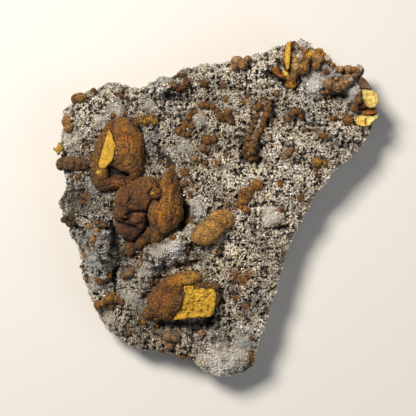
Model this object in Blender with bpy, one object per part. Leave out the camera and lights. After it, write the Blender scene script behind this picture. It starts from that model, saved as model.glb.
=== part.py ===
# Gyrolite on drusy quartz: a thick broken plate of quartz-lined rock that lies on its flat back, with
# lumps, chains and balls of gyrolite grown on its crystal face. Metres, +Z up, +Y the plate's upper end.
# The tables below are in millimetres. Everything is finally moved to put the box's middle on the origin.

import math
import random

import bmesh
import bpy
import numpy as np
from mathutils import Matrix, Vector, noise
from mathutils.geometry import delaunay_2d_cdt

MM = 0.001
BOX_MIDDLE = (0.47, -0.05)  # where the box's middle falls in the tables, millimetres

# Driving dimensions, millimetres.
FACE_HEIGHT = 25.0  # flat back to the mean level of the crystal face
FACE_SPACING = 5.35  # between the points of the face
WALL_SPACING = 6.0  # between the points of the edge
CRYSTAL_STEP = 0.55  # how far the points of the face stand up or down, as the crystals' tips do
ROLL_WIDTH = 9.0  # how far in from a rough edge the face starts to roll over
ROLL_DROP = 8.0  # how far it has dropped at that edge
SEAT_GAP = 0.35  # between a lump and the rock it grew on

# The rough edge: from the foot round the left side and the upper end to the right shoulder.
ROUGH_EDGE = [
    (19.5, -80.5), (13.5, -84.0), (7.0, -85.5), (1.0, -85.5), (-4.5, -83.5), (-8.5, -81.5), (-12.5, -76.5),
    (-20.5, -75.0), (-28.0, -73.5), (-37.0, -72.0), (-44.0, -70.0), (-49.5, -66.0), (-54.5, -62.0),
    (-59.5, -56.5), (-61.5, -50.5), (-63.0, -44.5), (-66.0, -39.5), (-68.0, -33.5), (-68.5, -26.0),
    (-70.5, -19.0), (-73.5, -13.5), (-74.5, -9.5), (-78.0, -5.5), (-79.0, 0.5), (-80.8, 3.5), (-78.5, 6.5),
    (-76.5, 12.0), (-77.5, 18.0), (-79.5, 23.0), (-79.8, 31.0), (-79.0, 38.0), (-78.0, 44.0), (-79.0, 50.5),
    (-75.0, 53.0), (-72.0, 56.0), (-68.0, 59.5), (-61.0, 61.5), (-57.0, 64.0), (-52.0, 65.0), (-44.0, 63.0),
    (-36.0, 63.0), (-32.0, 66.0), (-29.0, 68.5), (-21.5, 68.0), (-17.5, 72.0), (-11.0, 73.5), (-4.5, 74.5),
    (1.5, 74.0), (8.5, 76.5), (15.5, 77.0), (22.0, 80.0), (27.5, 82.5), (31.5, 84.5), (38.0, 83.5),
    (42.0, 85.7), (47.0, 85.0), (52.0, 81.5), (57.0, 77.0), (63.0, 74.0), (68.0, 72.0), (73.5, 73.0),
    (75.0, 67.5), (78.5, 61.5), (81.5, 56.5), (81.3, 50.0), (81.7, 46.0), (80.0, 41.0),
]
# The clean curved break down the right side, from the shoulder back to the foot.
CLEAN_BREAK = [
    (77.0, 36.0), (73.5, 31.0), (68.0, 25.5), (62.0, 20.5), (56.0, 14.0), (51.0, 7.0), (47.5, 0.5),
    (42.5, -9.0), (37.5, -18.0), (35.5, -26.0), (32.5, -35.0), (29.5, -46.0), (26.0, -57.5), (22.5, -65.5),
    (21.0, -72.0),
]
FINER_OVER = (2.55, 7.5)  # a lobe of a larger half width than these has 4 and 16 times the faces
BEAD_STEP = 1.1  # from a bead's middle to its waist along a chain, in bead radii
BEAD_WAIST = 0.7  # the waist's width, in bead widths
ROPE_SIDES = 5
BEAD_FALL = 0.5  # the most that a bead lies below its neighbour, in bead radii
LUMP_FACES = 0.22  # share of its faces that a lump of several lobes keeps
HEART_SPACING = 3.8  # between the points of a broken heart
SEED = 7

# Levels of the broken wall: share of the height, how far in it stands, how deep its hollows are, and how
# many times its outline is smoothed.
WALL_LEVELS = [(0.0, 2.2, 3.5, 4), (0.14, 0.2, 4.0, 3), (0.42, 0.2, 5.0, 2), (0.74, 0.0, 2.0, 0)]

# Ridges and grooves of the face: ends (x, y), half width, height. A groove's height is negative.
FACE_LINES = [
    ((-59.0, -12.0), (-58.5, -44.0), 6.5, 4.5),  # rounded column down the left side
    ((-52.0, -11.0), (-50.5, -39.0), 2.4, -8.0),  # deep groove beside it
    ((-39.5, -41.0), (-31.0, -26.0), 5.0, 3.5),  # slanting ridge, lower half
    ((-31.0, -26.0), (-13.0, -8.0), 5.0, 5.5),  # slanting ridge, upper half
    ((-30.0, -33.0), (-12.0, -27.0), 3.6, -4.5),  # hollow under the ridge
    ((-14.5, 2.0), (-16.5, -12.0), 2.6, -6.0),  # gap beside the middle lump
    ((-11.0, -21.0), (2.0, -26.0), 4.0, -2.5),  # hollow under the oval lump
    ((-32.0, 63.0), (29.0, 77.0), 8.0, 3.5),  # crest along the upper end
    ((-25.5, 54.5), (-13.0, 54.0), 3.0, -6.0),  # hollow under the crest
    ((23.0, 55.0), (17.0, 29.0), 5.0, 3.5),  # rib that carries the forked chain
    ((11.0, 25.0), (23.0, 24.5), 2.4, -5.0),  # hollow at its lower end
    ((28.5, 53.0), (28.0, 44.0), 3.4, -4.0),  # hollow beside it
    ((27.0, 65.5), (34.0, 63.5), 2.6, -5.0),  # hollow left of the crest's lump
    ((47.0, 60.0), (72.0, 55.0), 5.5, 3.0),  # white ridge below the shoulder
    ((56.5, 57.0), (65.0, 55.5), 2.8, -6.5),  # pocket under the shoulder's roll
    ((42.0, 46.5), (58.0, 42.0), 2.4, -4.5),  # ledge
    ((26.0, -9.5), (36.0, -8.5), 1.9, -4.0),  # ledge
    ((-28.0, -58.0), (-1.0, -56.5), 3.4, -4.5),  # shadowed hollow under the lower lump
    ((-62.0, 10.0), (-50.0, 6.0), 3.2, -2.5),  # saddle between the left lumps
    ((-34.0, 26.0), (-20.0, 22.0), 5.0, -2.5),  # dip right of the upper lump
]
# Swellings and pits of the face: middle (x, y), half sizes, height. A pit's height is negative.
FACE_SPOTS = [
    ((2.5, -76.0), (12.0, 10.0), 4.5),  # smooth white foot
    ((26.0, -4.0), (9.0, 4.0), 3.0),
    ((34.0, 28.0), (13.0, 10.0), 2.0),
    ((-73.0, 1.0), (6.0, 7.0), 2.5),
    ((-18.5, 64.5), (3.0, 3.0), 4.0),  # quartz stub inside the ring
    ((-9.5, -61.0), (2.4, 2.4), -4.0),
    ((5.0, -45.5), (2.8, 2.8), -4.0),
    ((21.5, -52.5), (2.4, 2.0), -4.0),
    ((8.5, -56.5), (3.0, 1.8), -3.0),
    ((51.0, 54.5), (2.6, 2.0), -5.0),
    ((44.5, 45.5), (3.0, 3.4), -3.5),
    ((13.5, 43.5), (1.9, 1.9), -4.0),
    ((-62.0, 40.0), (14.0, 16.0), 1.5),
    ((0.0, 40.0), (16.0, 12.0), 1.5),
]

# Lumps made of rounded lobes: middle (x, y), height of the middle over the face, half sizes, turn in degrees.
UPPER_LUMP = [
    ((-44.0, 31.5), 1.5, (8.0, 14.6, 8.5), 5.0),
    ((-52.5, 27.5), 0.5, (8.8, 17.8, 6.0), -13.0),
    ((-50.5, 14.6), 1.0, (7.2, 3.2, 4.4), -4.0),
    ((-58.0, 17.8), 2.5, (3.6, 3.6, 4.0), 0.0),
    ((-42.0, 20.6), 1.0, (4.4, 4.8, 5.2), 0.0),
]
UPPER_CAVITY = ((-48.5, 19.4), 5.5, (5.2, 2.3, 6.0), 4.0)
UPPER_CORE = [
    (-52.5, 39.75), (-51.0, 35.75), (-49.5, 31.75), (-50.75, 27.25), (-51.25, 24.25), (-54.5, 20.9),
    (-58.2, 20.7), (-58.0, 24.75), (-56.5, 29.75), (-55.0, 34.25), (-53.5, 38.75),
]
MIDDLE_LUMP = [
    ((-25.0, 1.8), 2.5, (8.8, 17.6, 9.5), -3.0),  # upright lens
    ((-39.0, 6.6), 1.0, (8.4, 6.4, 7.0), 12.0),
    ((-34.0, 1.5), 1.5, (6.5, 8.5, 6.5), 0.0),
    ((-45.5, -1.5), 0.5, (5.6, 5.6, 5.6), 0.0),
    ((-39.5, -3.5), 2.0, (6.6, 4.0, 5.4), 15.0),
    ((-46.0, -8.5), 0.8, (4.6, 4.0, 4.6), 0.0),
    ((-42.0, -13.0), 1.0, (5.0, 4.2, 4.8), 0.0),
    ((-36.5, -9.0), 1.0, (4.2, 4.6, 4.6), 0.0),
    ((-30.5, 7.3), 7.6, (2.9, 2.9, 3.0), 0.0),  # bud on top
    ((-32.5, -15.0), 1.0, (3.2, 3.2, 3.6), 0.0),
    ((-37.5, -18.0), 0.8, (3.4, 2.8, 3.2), 0.0),
    ((-42.5, -19.0), 0.8, (3.0, 2.8, 3.0), 0.0),
]
OVAL_LUMP = [
    ((-2.5, -9.7), 1.6, (12.8, 7.0, 5.4), 34.0),
    ((1.5, -7.0), 1.6, (8.6, 6.6, 5.0), 20.0),
]
LOWER_LUMP = [
    ((-26.0, -46.5), 1.5, (9.4, 9.4, 8.6), 0.0),
    ((-18.0, -36.5), 1.0, (12.4, 5.4, 6.4), -6.0),
    ((-9.5, -43.6), 0.5, (12.2, 8.6, 6.6), 0.0),
    ((-32.0, -52.5), 0.8, (3.6, 3.6, 3.8), 0.0),
]
LOWER_CORE = [
    (-16.5, -37.3), (-11.0, -37.3), (-9.5, -39.7), (-0.8, -39.3), (0.3, -42.0), (-0.2, -47.5), (-1.0, -53.3),
    (-13.0, -54.0), (-22.0, -55.3), (-18.0, -48.8), (-15.2, -45.0), (-15.6, -40.5),
]
CREST_LUMP = [
    ((42.0, 74.5), 1.0, (5.4, 9.5, 6.0), 0.0),
    ((50.5, 77.5), 1.0, (6.0, 4.2, 5.0), -28.0),
    ((44.0, 66.5), 0.8, (4.2, 4.4, 4.4), 0.0),
    ((50.0, 72.0), 1.2, (3.6, 3.4, 4.0), 0.0),
]
CREST_WING = [((30.2, 69.0), 1.0, (4.6, 3.0, 4.0), -20.0)]
CREST_BALL = [((37.0, 62.6), 1.0, (3.4, 3.6, 4.0), 0.0)]
CREST_CORE = [
    (35.4, 82.6), (37.6, 82.4), (37.2, 77.0), (36.4, 72.0), (35.8, 67.0), (33.6, 67.4), (33.2, 73.0), (34.0, 78.0),
]
SHOULDER_ROLL = [
    ((58.0, 62.0), 1.2, (4.8, 4.0, 4.6), 10.0),
    ((64.5, 62.0), 1.2, (5.2, 4.2, 4.8), 0.0),
    ((54.5, 58.0), 0.8, (3.2, 3.2, 3.2), 0.0),
    ((61.5, 70.5), 1.0, (3.6, 3.0, 3.2), 0.0),
    ((66.5, 70.0), 1.0, (3.4, 3.2, 3.4), 0.0),
    ((65.5, 66.2), 1.0, (3.0, 2.8, 3.2), 0.0),
    ((69.2, 67.0), 1.0, (3.0, 2.8, 3.2), 0.0),
    ((72.5, 70.5), 1.0, (3.2, 3.2, 3.6), 0.0),
]
SHOULDER_CAP = [((75.0, 63.2), 1.0, (4.2, 4.4, 4.6), 30.0)]
SHOULDER_RIND = [
    ((75.8, 49.5), 0.8, (5.2, 3.6, 4.4), 0.0),
    ((71.2, 51.2), 0.8, (3.4, 4.4, 3.8), 0.0),
]
SHOULDER_CORE_UPPER = [
    (72.6, 59.4), (77.5, 59.6), (81.4, 56.8), (81.8, 53.2), (80.0, 51.2), (75.5, 51.3), (73.2, 54.0), (73.4, 57.0),
]
SHOULDER_CORE_LOWER = [
    (70.2, 44.0), (71.6, 47.0), (75.0, 47.6), (78.2, 46.8), (81.6, 47.9), (80.8, 44.0), (78.0, 41.6),
    (73.0, 41.2), (70.6, 42.4),
]
LEFT_ROLL = [
    ((-76.5, 23.3), 1.4, (4.2, 3.6, 3.6), 0.0),
    ((-71.5, 23.5), 1.0, (4.2, 3.6, 3.6), 0.0),
    ((-66.8, 23.0), 1.0, (4.0, 3.6, 3.6), 0.0),
]
LEFT_HEART = [
    ((-77.2, 29.6), 0.6, (3.4, 3.4, 3.4), 0.0),
    ((-76.6, 33.4), 0.6, (2.8, 2.8, 3.0), 0.0),
]
UPPER_PAIR = [
    ((12.0, 73.0), 1.0, (4.4, 3.8, 4.0), -40.0),
    ((16.0, 75.0), 0.8, (2.8, 2.6, 3.0), 0.0),
    ((9.5, 70.0), 0.8, (2.6, 2.4, 2.6), 0.0),
]
BASIN_BALL = [((-44.0, -32.5), 1.0, (3.8, 3.0, 3.2), 35.0)]
FOOT_BALLS = [
    ((-23.5, -63.8), 1.0, (3.4, 2.8, 3.0), 0.0),
    ((-19.8, -64.4), 1.0, (2.6, 2.4, 2.6), 0.0),
    ((-23.4, -68.2), 0.8, (2.4, 2.2, 2.4), 0.0),
]
RIM_BALL = [
    ((-69.0, 56.0), 1.6, (3.8, 2.4, 3.0), 15.0),
]
LEFT_PAIR = [
    ((-74.8, 44.4), 1.2, (2.6, 2.8, 3.0), 0.0),
    ((-73.8, 40.2), 1.0, (2.2, 2.2, 2.6), 0.0),
]

# Chains of beads: points (x, y) that the beads follow, and the beads' radius.
CHAINS = {
    "forked_chain": (
        [(20.5, 53.0), (19.5, 46.0), (17.0, 37.5), (15.0, 30.5), (18.0, 27.0), (20.0, 34.0), (23.5, 43.0), (26.0, 53.0)],
        1.9,
    ),
    "ring_of_beads": (
        [(-20.8, 60.4), (-17.5, 59.6), (-14.8, 61.4), (-14.2, 64.5), (-16.0, 67.6), (-19.0, 68.2), (-21.2, 66.2)],
        1.5,
    ),
    "upper_chain": ([(-40.5, 44.6), (-37.8, 46.2), (-34.0, 46.4), (-30.8, 44.2)], 2.1),
    "left_foot_chain": ([(-60.0, -47.5), (-56.0, -45.5), (-51.5, -44.6), (-47.8, -46.2)], 2.1),
    "left_bow": ([(-10.5, 48.4), (-13.5, 45.4), (-15.8, 42.6), (-19.0, 39.2), (-15.5, 37.6)], 2.0),
    "twin_bow": ([(-6.5, 53.2), (-2.8, 52.0), (0.6, 49.6), (2.6, 46.6), (6.0, 47.6), (7.4, 44.2)], 2.0),
    "arch": ([(36.2, 45.5), (38.2, 48.8), (41.8, 49.0), (42.6, 45.6)], 1.9),
    "scaly_strip": ([(21.0, 12.4), (17.0, 10.4), (13.6, 8.4), (11.4, 5.0), (14.6, 0.2)], 2.4),
    "pair_of_balls": ([(-4.6, 35.2), (-2.6, 35.0)], 2.9),
    "dusty_pair": ([(-7.4, 31.4), (-4.8, 30.4)], 2.3),
    "low_pair": ([(49.4, 24.0), (54.2, 23.4)], 2.5),
    "left_knot": ([(-77.0, -4.8), (-74.2, -5.8), (-72.2, -8.2)], 2.1),
}
# Single balls: middle (x, y), radius.
BALLS = [
    ((-6.0, 62.8), 2.3), ((4.5, 55.0), 1.8), ((30.5, 57.8), 1.8), ((-15.5, 18.2), 2.6), ((-15.4, 12.6), 2.0),
    ((42.5, 5.8), 2.0), ((32.5, 13.2), 2.1), ((54.0, 36.8), 1.9), ((66.0, 44.8), 2.7), ((55.0, 69.0), 1.9),
    ((1.5, -21.2), 1.9), ((-15.0, -20.4), 2.1), ((-66.0, 6.8), 1.9), ((15.0, -48.2), 1.8), ((-64.5, -35.6), 1.9),
    ((-53.8, -33.8), 1.9),
]

# Colours as linear RGB, with roughness.
QUARTZ = ((0.36, 0.33, 0.28), 0.45)
GYROLITE = ((0.20, 0.09, 0.03), 0.85)
YELLOW_HEART = ((0.56, 0.33, 0.06), 0.70)


def clear_scene():
    for obj in list(bpy.data.objects):
        bpy.data.objects.remove(obj)


def material(name, finish):
    colour, roughness = finish
    made = bpy.data.materials.new(name)
    made.use_nodes = True
    shader = made.node_tree.nodes["Principled BSDF"]
    shader.inputs["Base Color"].default_value = (*colour, 1.0)
    shader.inputs["Roughness"].default_value = roughness
    return made


def add_object(name, mesh, surface=None, helper=False):
    obj = bpy.data.objects.new(name, mesh)
    bpy.context.scene.collection.objects.link(obj)
    if surface:
        mesh.materials.append(surface)
    if helper:
        obj.hide_render = True
        obj.display_type = "WIRE"
    return obj


def closer(outline, spacing):
    """The closed outline with points added so that none are further apart than the spacing."""
    points = []
    for start, end in zip(outline, outline[1:] + outline[:1]):
        steps = max(1, math.ceil(math.dist(start, end) / spacing))
        for i in range(steps):
            share = i / steps
            points.append((start[0] + (end[0] - start[0]) * share, start[1] + (end[1] - start[1]) * share))
    return points


def outward(points):
    """Unit vectors square to a closed outline, pointing out of it. The outline runs clockwise from above."""
    found = []
    for before, after in zip(points[-1:] + points[:-1], points[1:] + points[:1]):
        along = Vector((after[0] - before[0], after[1] - before[1])).normalized()
        found.append(Vector((-along.y, along.x)))
    return found


def shifted(points, distances):
    """The outline moved out, point by point."""
    return [
        (p[0] + way.x * d, p[1] + way.y * d) for p, way, d in zip(points, outward(points), distances)
    ]


def smoothed(points, passes):
    """The closed outline with each point drawn between its neighbours, pass after pass."""
    rows = np.array(points)
    for _ in range(passes):
        rows = 0.5 * rows + 0.25 * (np.roll(rows, 1, axis=0) + np.roll(rows, -1, axis=0))
    return [tuple(row) for row in rows]


def line_distance(xy, start, end):
    """Distance from each of the points xy to the straight line between two points."""
    start, end = np.array(start), np.array(end)
    along = end - start
    share = np.clip(((xy - start) @ along) / (along @ along), 0, 1)
    return np.linalg.norm(xy - start - share[:, None] * along, axis=1)


def edge_distance(xy, points):
    ends = points[1:] + points[:1]
    return np.min([line_distance(xy, a, b) for a, b in zip(points, ends)], axis=0)


def inside(xy, points):
    """Whether each of the points xy lies in the closed outline, by counting the edges to its right."""
    found = np.zeros(len(xy), bool)
    for (x0, y0), (x1, y1) in zip(points, points[1:] + points[:1]):
        if y0 == y1:
            continue
        spans = (xy[:, 1] > min(y0, y1)) & (xy[:, 1] <= max(y0, y1))
        found ^= spans & (xy[:, 0] < x0 + (xy[:, 1] - y0) * (x1 - x0) / (y1 - y0))
    return found


def roughness_at(xy, size, depth):
    """Natural unevenness of about this size across and this depth."""
    return np.array([depth * noise.noise(Vector((x / size, y / size, 0.37 * size))) for x, y in xy])


def face_height(xy):
    """Height of the crystal face over the back: bell-shaped ridges, grooves, swellings and pits on a flat
    plate, with natural unevenness, and rolled down towards the rough edge."""
    xy = np.atleast_2d(np.array(xy, float))
    height = FACE_HEIGHT + roughness_at(xy, 21.0, 2.6) + roughness_at(xy, 8.0, 1.8)
    for start, end, half_width, rise in FACE_LINES:
        height += rise * np.exp(-((line_distance(xy, start, end) / half_width) ** 2))
    for middle, (half_x, half_y), rise in FACE_SPOTS:
        away = ((xy[:, 0] - middle[0]) / half_x) ** 2 + ((xy[:, 1] - middle[1]) / half_y) ** 2
        height += rise * np.exp(-away)
    rough = ROUGH_EDGE
    to_edge = np.min([line_distance(xy, a, b) for a, b in zip(rough, rough[1:])], axis=0)
    near = np.clip(1 - to_edge / ROLL_WIDTH, 0, 1)
    return height - ROLL_DROP * near**2.2


def fill(points, extra=()):
    """Triangles over the inside of a closed outline, given as its own points and then the extra ones."""
    flat = [Vector(p[:2]) for p in [*points, *extra]]
    edges = [(i, (i + 1) % len(points)) for i in range(len(points))]
    made = delaunay_2d_cdt(flat, edges, [], 1, 1e-6)
    sources = [found[0] for found in made[3]]
    return [[sources[i] for i in face] for face in made[2]]


def block(name, rings, top_points):
    """A closed solid: walls through the rings, which run up from the foot, a top through the last ring and
    the top points, and a flat foot. All of them are (x, y, z) in millimetres."""
    count = len(rings[0])
    mesh = bmesh.new()
    vertices = [mesh.verts.new(Vector(p) * MM) for ring in rings for p in ring]
    vertices += [mesh.verts.new(Vector(p) * MM) for p in top_points]
    for level in range(len(rings) - 1):
        for i in range(count):
            j = (i + 1) % count
            low, high = level * count, (level + 1) * count
            mesh.faces.new([vertices[low + i], vertices[low + j], vertices[high + j], vertices[high + i]])
    last = (len(rings) - 1) * count
    for face in fill(rings[-1], top_points):
        mesh.faces.new([vertices[last + i] for i in face])
    for face in fill(rings[0]):
        mesh.faces.new([vertices[i] for i in face])
    bmesh.ops.triangulate(mesh, faces=mesh.faces)
    bmesh.ops.recalc_face_normals(mesh, faces=mesh.faces)
    made = bpy.data.meshes.new(name)
    mesh.to_mesh(made)
    mesh.free()
    return made


def scattered(points, spacing, margin, rng):
    """Points inside a closed outline in staggered rows, each a little off its place."""
    low, high = np.min(points, axis=0), np.max(points, axis=0)
    rows = []
    for row, y in enumerate(np.arange(low[1], high[1], spacing * math.sqrt(3) / 2)):
        for x in np.arange(low[0] + (row % 2) * spacing / 2, high[0], spacing):
            rows.append((x + rng.uniform(-0.2, 0.2) * spacing, y + rng.uniform(-0.2, 0.2) * spacing))
    xy = np.array(rows)
    return xy[inside(xy, points) & (edge_distance(xy, points) > margin)]


def plate(surface):
    """The quartz-lined rock: a flat back, a bevelled foot, a broken wall and the crystal face."""
    rng = random.Random(SEED)
    edge = closer(ROUGH_EDGE + CLEAN_BREAK, WALL_SPACING)
    clean = np.array([min(math.dist(p, q) for q in CLEAN_BREAK) < WALL_SPACING for p in edge])
    rim = shifted(edge, np.where(clean, -1.3, -1.1))
    rim_height = face_height(rim) - np.where(clean, 0.0, 1.0)
    rings = []
    for level, (share, inset, depth, passes) in enumerate(WALL_LEVELS):
        hollow = np.abs(roughness_at(np.array(edge) + 40.0 * level, 15.0, depth)) * np.where(clean, 0.3, 1.0)
        points = shifted(smoothed(edge, passes), -hollow - np.where(clean, 0.25, 1.0) * inset)
        rings.append([(x, y, share * h) for (x, y), h in zip(points, rim_height)])
    rings.append([(x, y, h) for (x, y), h in zip(rim, rim_height)])
    xy = scattered(rim, FACE_SPACING, 0.55 * FACE_SPACING, rng)
    face = [(x, y, h + rng.uniform(-CRYSTAL_STEP, CRYSTAL_STEP)) for (x, y), h in zip(xy, face_height(xy))]
    return add_object("quartz_matrix", block("quartz_matrix", rings, face), surface)


def seat_of(rock):
    """A copy of the rock, swollen by the gap, that cuts the underside of what grew on it."""
    mesh = rock.data.copy()
    mesh.materials.clear()
    swollen = bmesh.new()
    swollen.from_mesh(mesh)
    swollen.normal_update()
    for vertex, way in [(v, v.normal.copy()) for v in swollen.verts]:
        vertex.co += way * SEAT_GAP * MM
    swollen.to_mesh(mesh)
    swollen.free()
    return add_object("seat", mesh, helper=True)


def lobe(middle, over, half_sizes, turn):
    """One rounded lobe: a ball with more faces the larger it is, stretched, turned and set over the face."""
    subdivisions = 1 + sum(min(half_sizes[:2]) > size for size in FINER_OVER)
    height = float(face_height([middle])[0]) + over
    place = (
        Matrix.Translation(Vector((*middle, height)) * MM)
        @ Matrix.Rotation(math.radians(turn), 4, "Z")
        @ Matrix.Diagonal((*(Vector(half_sizes) * MM), 1.0))
    )
    ball = bmesh.new()
    bmesh.ops.create_icosphere(ball, subdivisions=subdivisions, radius=1.0, matrix=place)
    mesh = bpy.data.meshes.new("lobe")
    ball.to_mesh(mesh)
    ball.free()
    return mesh


def boolean(obj, operation, other):
    """Joins the other object, or all of a collection, to obj, or cuts it away."""
    modifier = obj.modifiers.new(f"{operation.lower()}_{other.name}", "BOOLEAN")
    modifier.operation = operation
    modifier.solver = "EXACT"
    if isinstance(other, bpy.types.Collection):
        modifier.operand_type = "COLLECTION"
        modifier.collection = other
    else:
        modifier.object = other
    return modifier


def lump(name, lobes, surface, seat, cuts=()):
    """Lobes grown together into one solid, cut to the seat and by the cutters."""
    first, *others = [lobe(*row) for row in lobes]
    obj = add_object(name, first, surface)
    if others:
        group = bpy.data.collections.new(f"{name}_lobes")
        bpy.context.scene.collection.children.link(group)
        group.hide_render = True
        for mesh in others:
            part = bpy.data.objects.new(f"{name}_lobe", mesh)
            part.hide_render = True
            part.display_type = "WIRE"
            group.objects.link(part)
        boolean(obj, "UNION", group)
    if len(lobes) > 2:
        thinner = obj.modifiers.new("fewer_faces", "DECIMATE")
        thinner.ratio = LUMP_FACES
    for cutter in (*cuts, seat):
        boolean(obj, "DIFFERENCE", cutter)
    return obj


def chain(name, points, radius, surface, seat):
    """A row of beads as one knobbly tube along a line of points. It bridges the dips under it."""
    middles = [points[0]]
    for start, end in zip(points, points[1:]):
        steps = max(1, round(math.dist(start, end) / (BEAD_STEP * radius)))
        for i in range(1, steps + 1):
            share = i / steps
            middles.append((start[0] + (end[0] - start[0]) * share, start[1] + (end[1] - start[1]) * share))
    if len(middles) % 2 == 0:
        last, before = middles[-1], middles[-2]
        middles.append((1.5 * last[0] - 0.5 * before[0], 1.5 * last[1] - 0.5 * before[1]))
    held = face_height(middles)
    for _ in middles:
        held[1:] = np.maximum(held[1:], held[:-1] - BEAD_FALL * radius)
        held[:-1] = np.maximum(held[:-1], held[1:] - BEAD_FALL * radius)
    along = np.gradient(np.array(middles), axis=0)
    mesh = bmesh.new()
    rings = []
    for i, ((x, y), (step_x, step_y)) in enumerate(zip(middles, along)):
        waist = radius * (BEAD_WAIST if i % 2 else 1.0)
        heading = Matrix.Rotation(math.atan2(step_y, step_x), 3, "Z")
        ring = []
        for k in range(ROPE_SIDES):
            angle = 2 * math.pi * (k + 0.5) / ROPE_SIDES
            offset = heading @ Vector((0.0, waist * math.cos(angle), waist * math.sin(angle)))
            ring.append(mesh.verts.new((Vector((x, y, held[i] + 0.3 * radius)) + offset) * MM))
        rings.append(ring)
    for low, high in zip(rings, rings[1:]):
        for k in range(ROPE_SIDES):
            j = (k + 1) % ROPE_SIDES
            mesh.faces.new([low[k], low[j], high[j], high[k]])
    mesh.faces.new(rings[0])
    mesh.faces.new(rings[-1])
    for ring in (rings[0], rings[-1]):
        middle = sum((v.co for v in ring), Vector()) / ROPE_SIDES
        for vertex in ring:
            vertex.co = middle.lerp(vertex.co, 0.75)
    bmesh.ops.triangulate(mesh, faces=mesh.faces)
    bmesh.ops.recalc_face_normals(mesh, faces=mesh.faces)
    made = bpy.data.meshes.new(name)
    mesh.to_mesh(made)
    mesh.free()
    obj = add_object(name, made, surface)
    boolean(obj, "DIFFERENCE", seat).use_self = True


def heart(name, outline, over, slope, surface, seat):
    """A bright broken heart: a lumpy block over the face, and the wider cutter that clears the rind round it."""
    rng = random.Random(SEED)
    edge = closer(outline, HEART_SPACING)
    middle = np.mean(outline, axis=0)
    ground = float(face_height([middle])[0])

    def top(xy):
        xy = np.atleast_2d(np.array(xy, float))
        return ground + over + (xy - middle) @ np.array(slope) + roughness_at(xy, 2.6, 1.1)

    waist = shifted(edge, [0.0] * len(edge))
    rim = shifted(edge, [-0.5] * len(edge))
    rings = [
        [(x, y, ground - 5.0) for x, y in waist],
        [(x, y, h - 0.9) for (x, y), h in zip(waist, top(waist))],
        [(x, y, h) for (x, y), h in zip(rim, top(rim))],
    ]
    xy = scattered(rim, HEART_SPACING, 0.45 * HEART_SPACING, rng)
    points = [(x, y, h) for (x, y), h in zip(xy, top(xy))] if len(xy) else []
    obj = add_object(name, block(name, rings, points), surface)
    boolean(obj, "DIFFERENCE", seat)
    wide = shifted(edge, [SEAT_GAP] * len(edge))
    walls = [[(x, y, ground + z) for x, y in wide] for z in (-8.0, 25.0)]
    return add_object(f"{name}_pocket", block(f"{name}_pocket", walls, []), helper=True)


def main():
    clear_scene()
    quartz = material("drusy_quartz", QUARTZ)
    gyrolite = material("gyrolite", GYROLITE)
    yellow = material("yellow_heart", YELLOW_HEART)

    seat = seat_of(plate(quartz))

    upper = heart("upper_heart", UPPER_CORE, 5.2, (0.12, 0.02), yellow, seat)
    lower = heart("lower_heart", LOWER_CORE, 5.4, (0.03, 0.04), yellow, seat)
    crest = heart("crest_blade", CREST_CORE, 5.6, (0.0, 0.0), yellow, seat)
    shoulder_a = heart("shoulder_heart_upper", SHOULDER_CORE_UPPER, 4.2, (0.0, 0.0), yellow, seat)
    shoulder_b = heart("shoulder_heart_lower", SHOULDER_CORE_LOWER, 3.8, (0.0, 0.0), yellow, seat)

    cavity = add_object("cavity", lobe(*UPPER_CAVITY), helper=True)
    lump("upper_lump", UPPER_LUMP, gyrolite, seat, (upper, cavity))
    lump("middle_lump", MIDDLE_LUMP, gyrolite, seat)
    lump("oval_lump", OVAL_LUMP, gyrolite, seat)
    lump("lower_lump", LOWER_LUMP, gyrolite, seat, (lower,))
    lump("crest_lump", CREST_LUMP, gyrolite, seat, (crest,))
    lump("crest_wing", CREST_WING, gyrolite, seat, (crest,))
    lump("crest_ball", CREST_BALL, gyrolite, seat, (crest,))
    lump("shoulder_roll", SHOULDER_ROLL, gyrolite, seat)
    lump("shoulder_cap", SHOULDER_CAP, gyrolite, seat, (shoulder_a,))
    lump("shoulder_rind", SHOULDER_RIND, gyrolite, seat, (shoulder_a, shoulder_b))
    lump("left_roll", LEFT_ROLL, gyrolite, seat)
    lump("left_heart", LEFT_HEART, yellow, seat)
    lump("upper_pair", UPPER_PAIR, gyrolite, seat)
    lump("basin_ball", BASIN_BALL, gyrolite, seat)
    lump("foot_balls", FOOT_BALLS, gyrolite, seat)
    lump("rim_ball", RIM_BALL, gyrolite, seat)
    lump("left_pair", LEFT_PAIR, gyrolite, seat)

    for name, (points, radius) in CHAINS.items():
        chain(name, points, radius, gyrolite, seat)
    for number, (middle, radius) in enumerate(BALLS, 1):
        size = (radius, radius, radius)
        lump(f"ball_{number:02d}", [(middle, 0.3 * radius, size, 0.0)], gyrolite, seat)

    for obj in bpy.data.objects:
        obj.location = -Vector((*BOX_MIDDLE, 0.0)) * MM


main()
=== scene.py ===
import math
from itertools import product

import bmesh
import bpy
import numpy as np
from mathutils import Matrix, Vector


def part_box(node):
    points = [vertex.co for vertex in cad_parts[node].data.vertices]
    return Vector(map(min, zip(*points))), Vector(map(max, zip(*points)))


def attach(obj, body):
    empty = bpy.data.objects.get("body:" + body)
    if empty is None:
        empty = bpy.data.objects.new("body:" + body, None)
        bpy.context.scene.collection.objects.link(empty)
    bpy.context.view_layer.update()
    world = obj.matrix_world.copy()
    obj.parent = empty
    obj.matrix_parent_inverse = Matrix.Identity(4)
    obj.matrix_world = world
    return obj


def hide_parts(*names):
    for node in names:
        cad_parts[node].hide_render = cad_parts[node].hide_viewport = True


# A broken plate of quartz-lined rock with gyrolite grown on its face. It lies on its back, face up.
# Tables are in millimetres on the plate: x to its clean break, y to its upper end, z up from its back.

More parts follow.
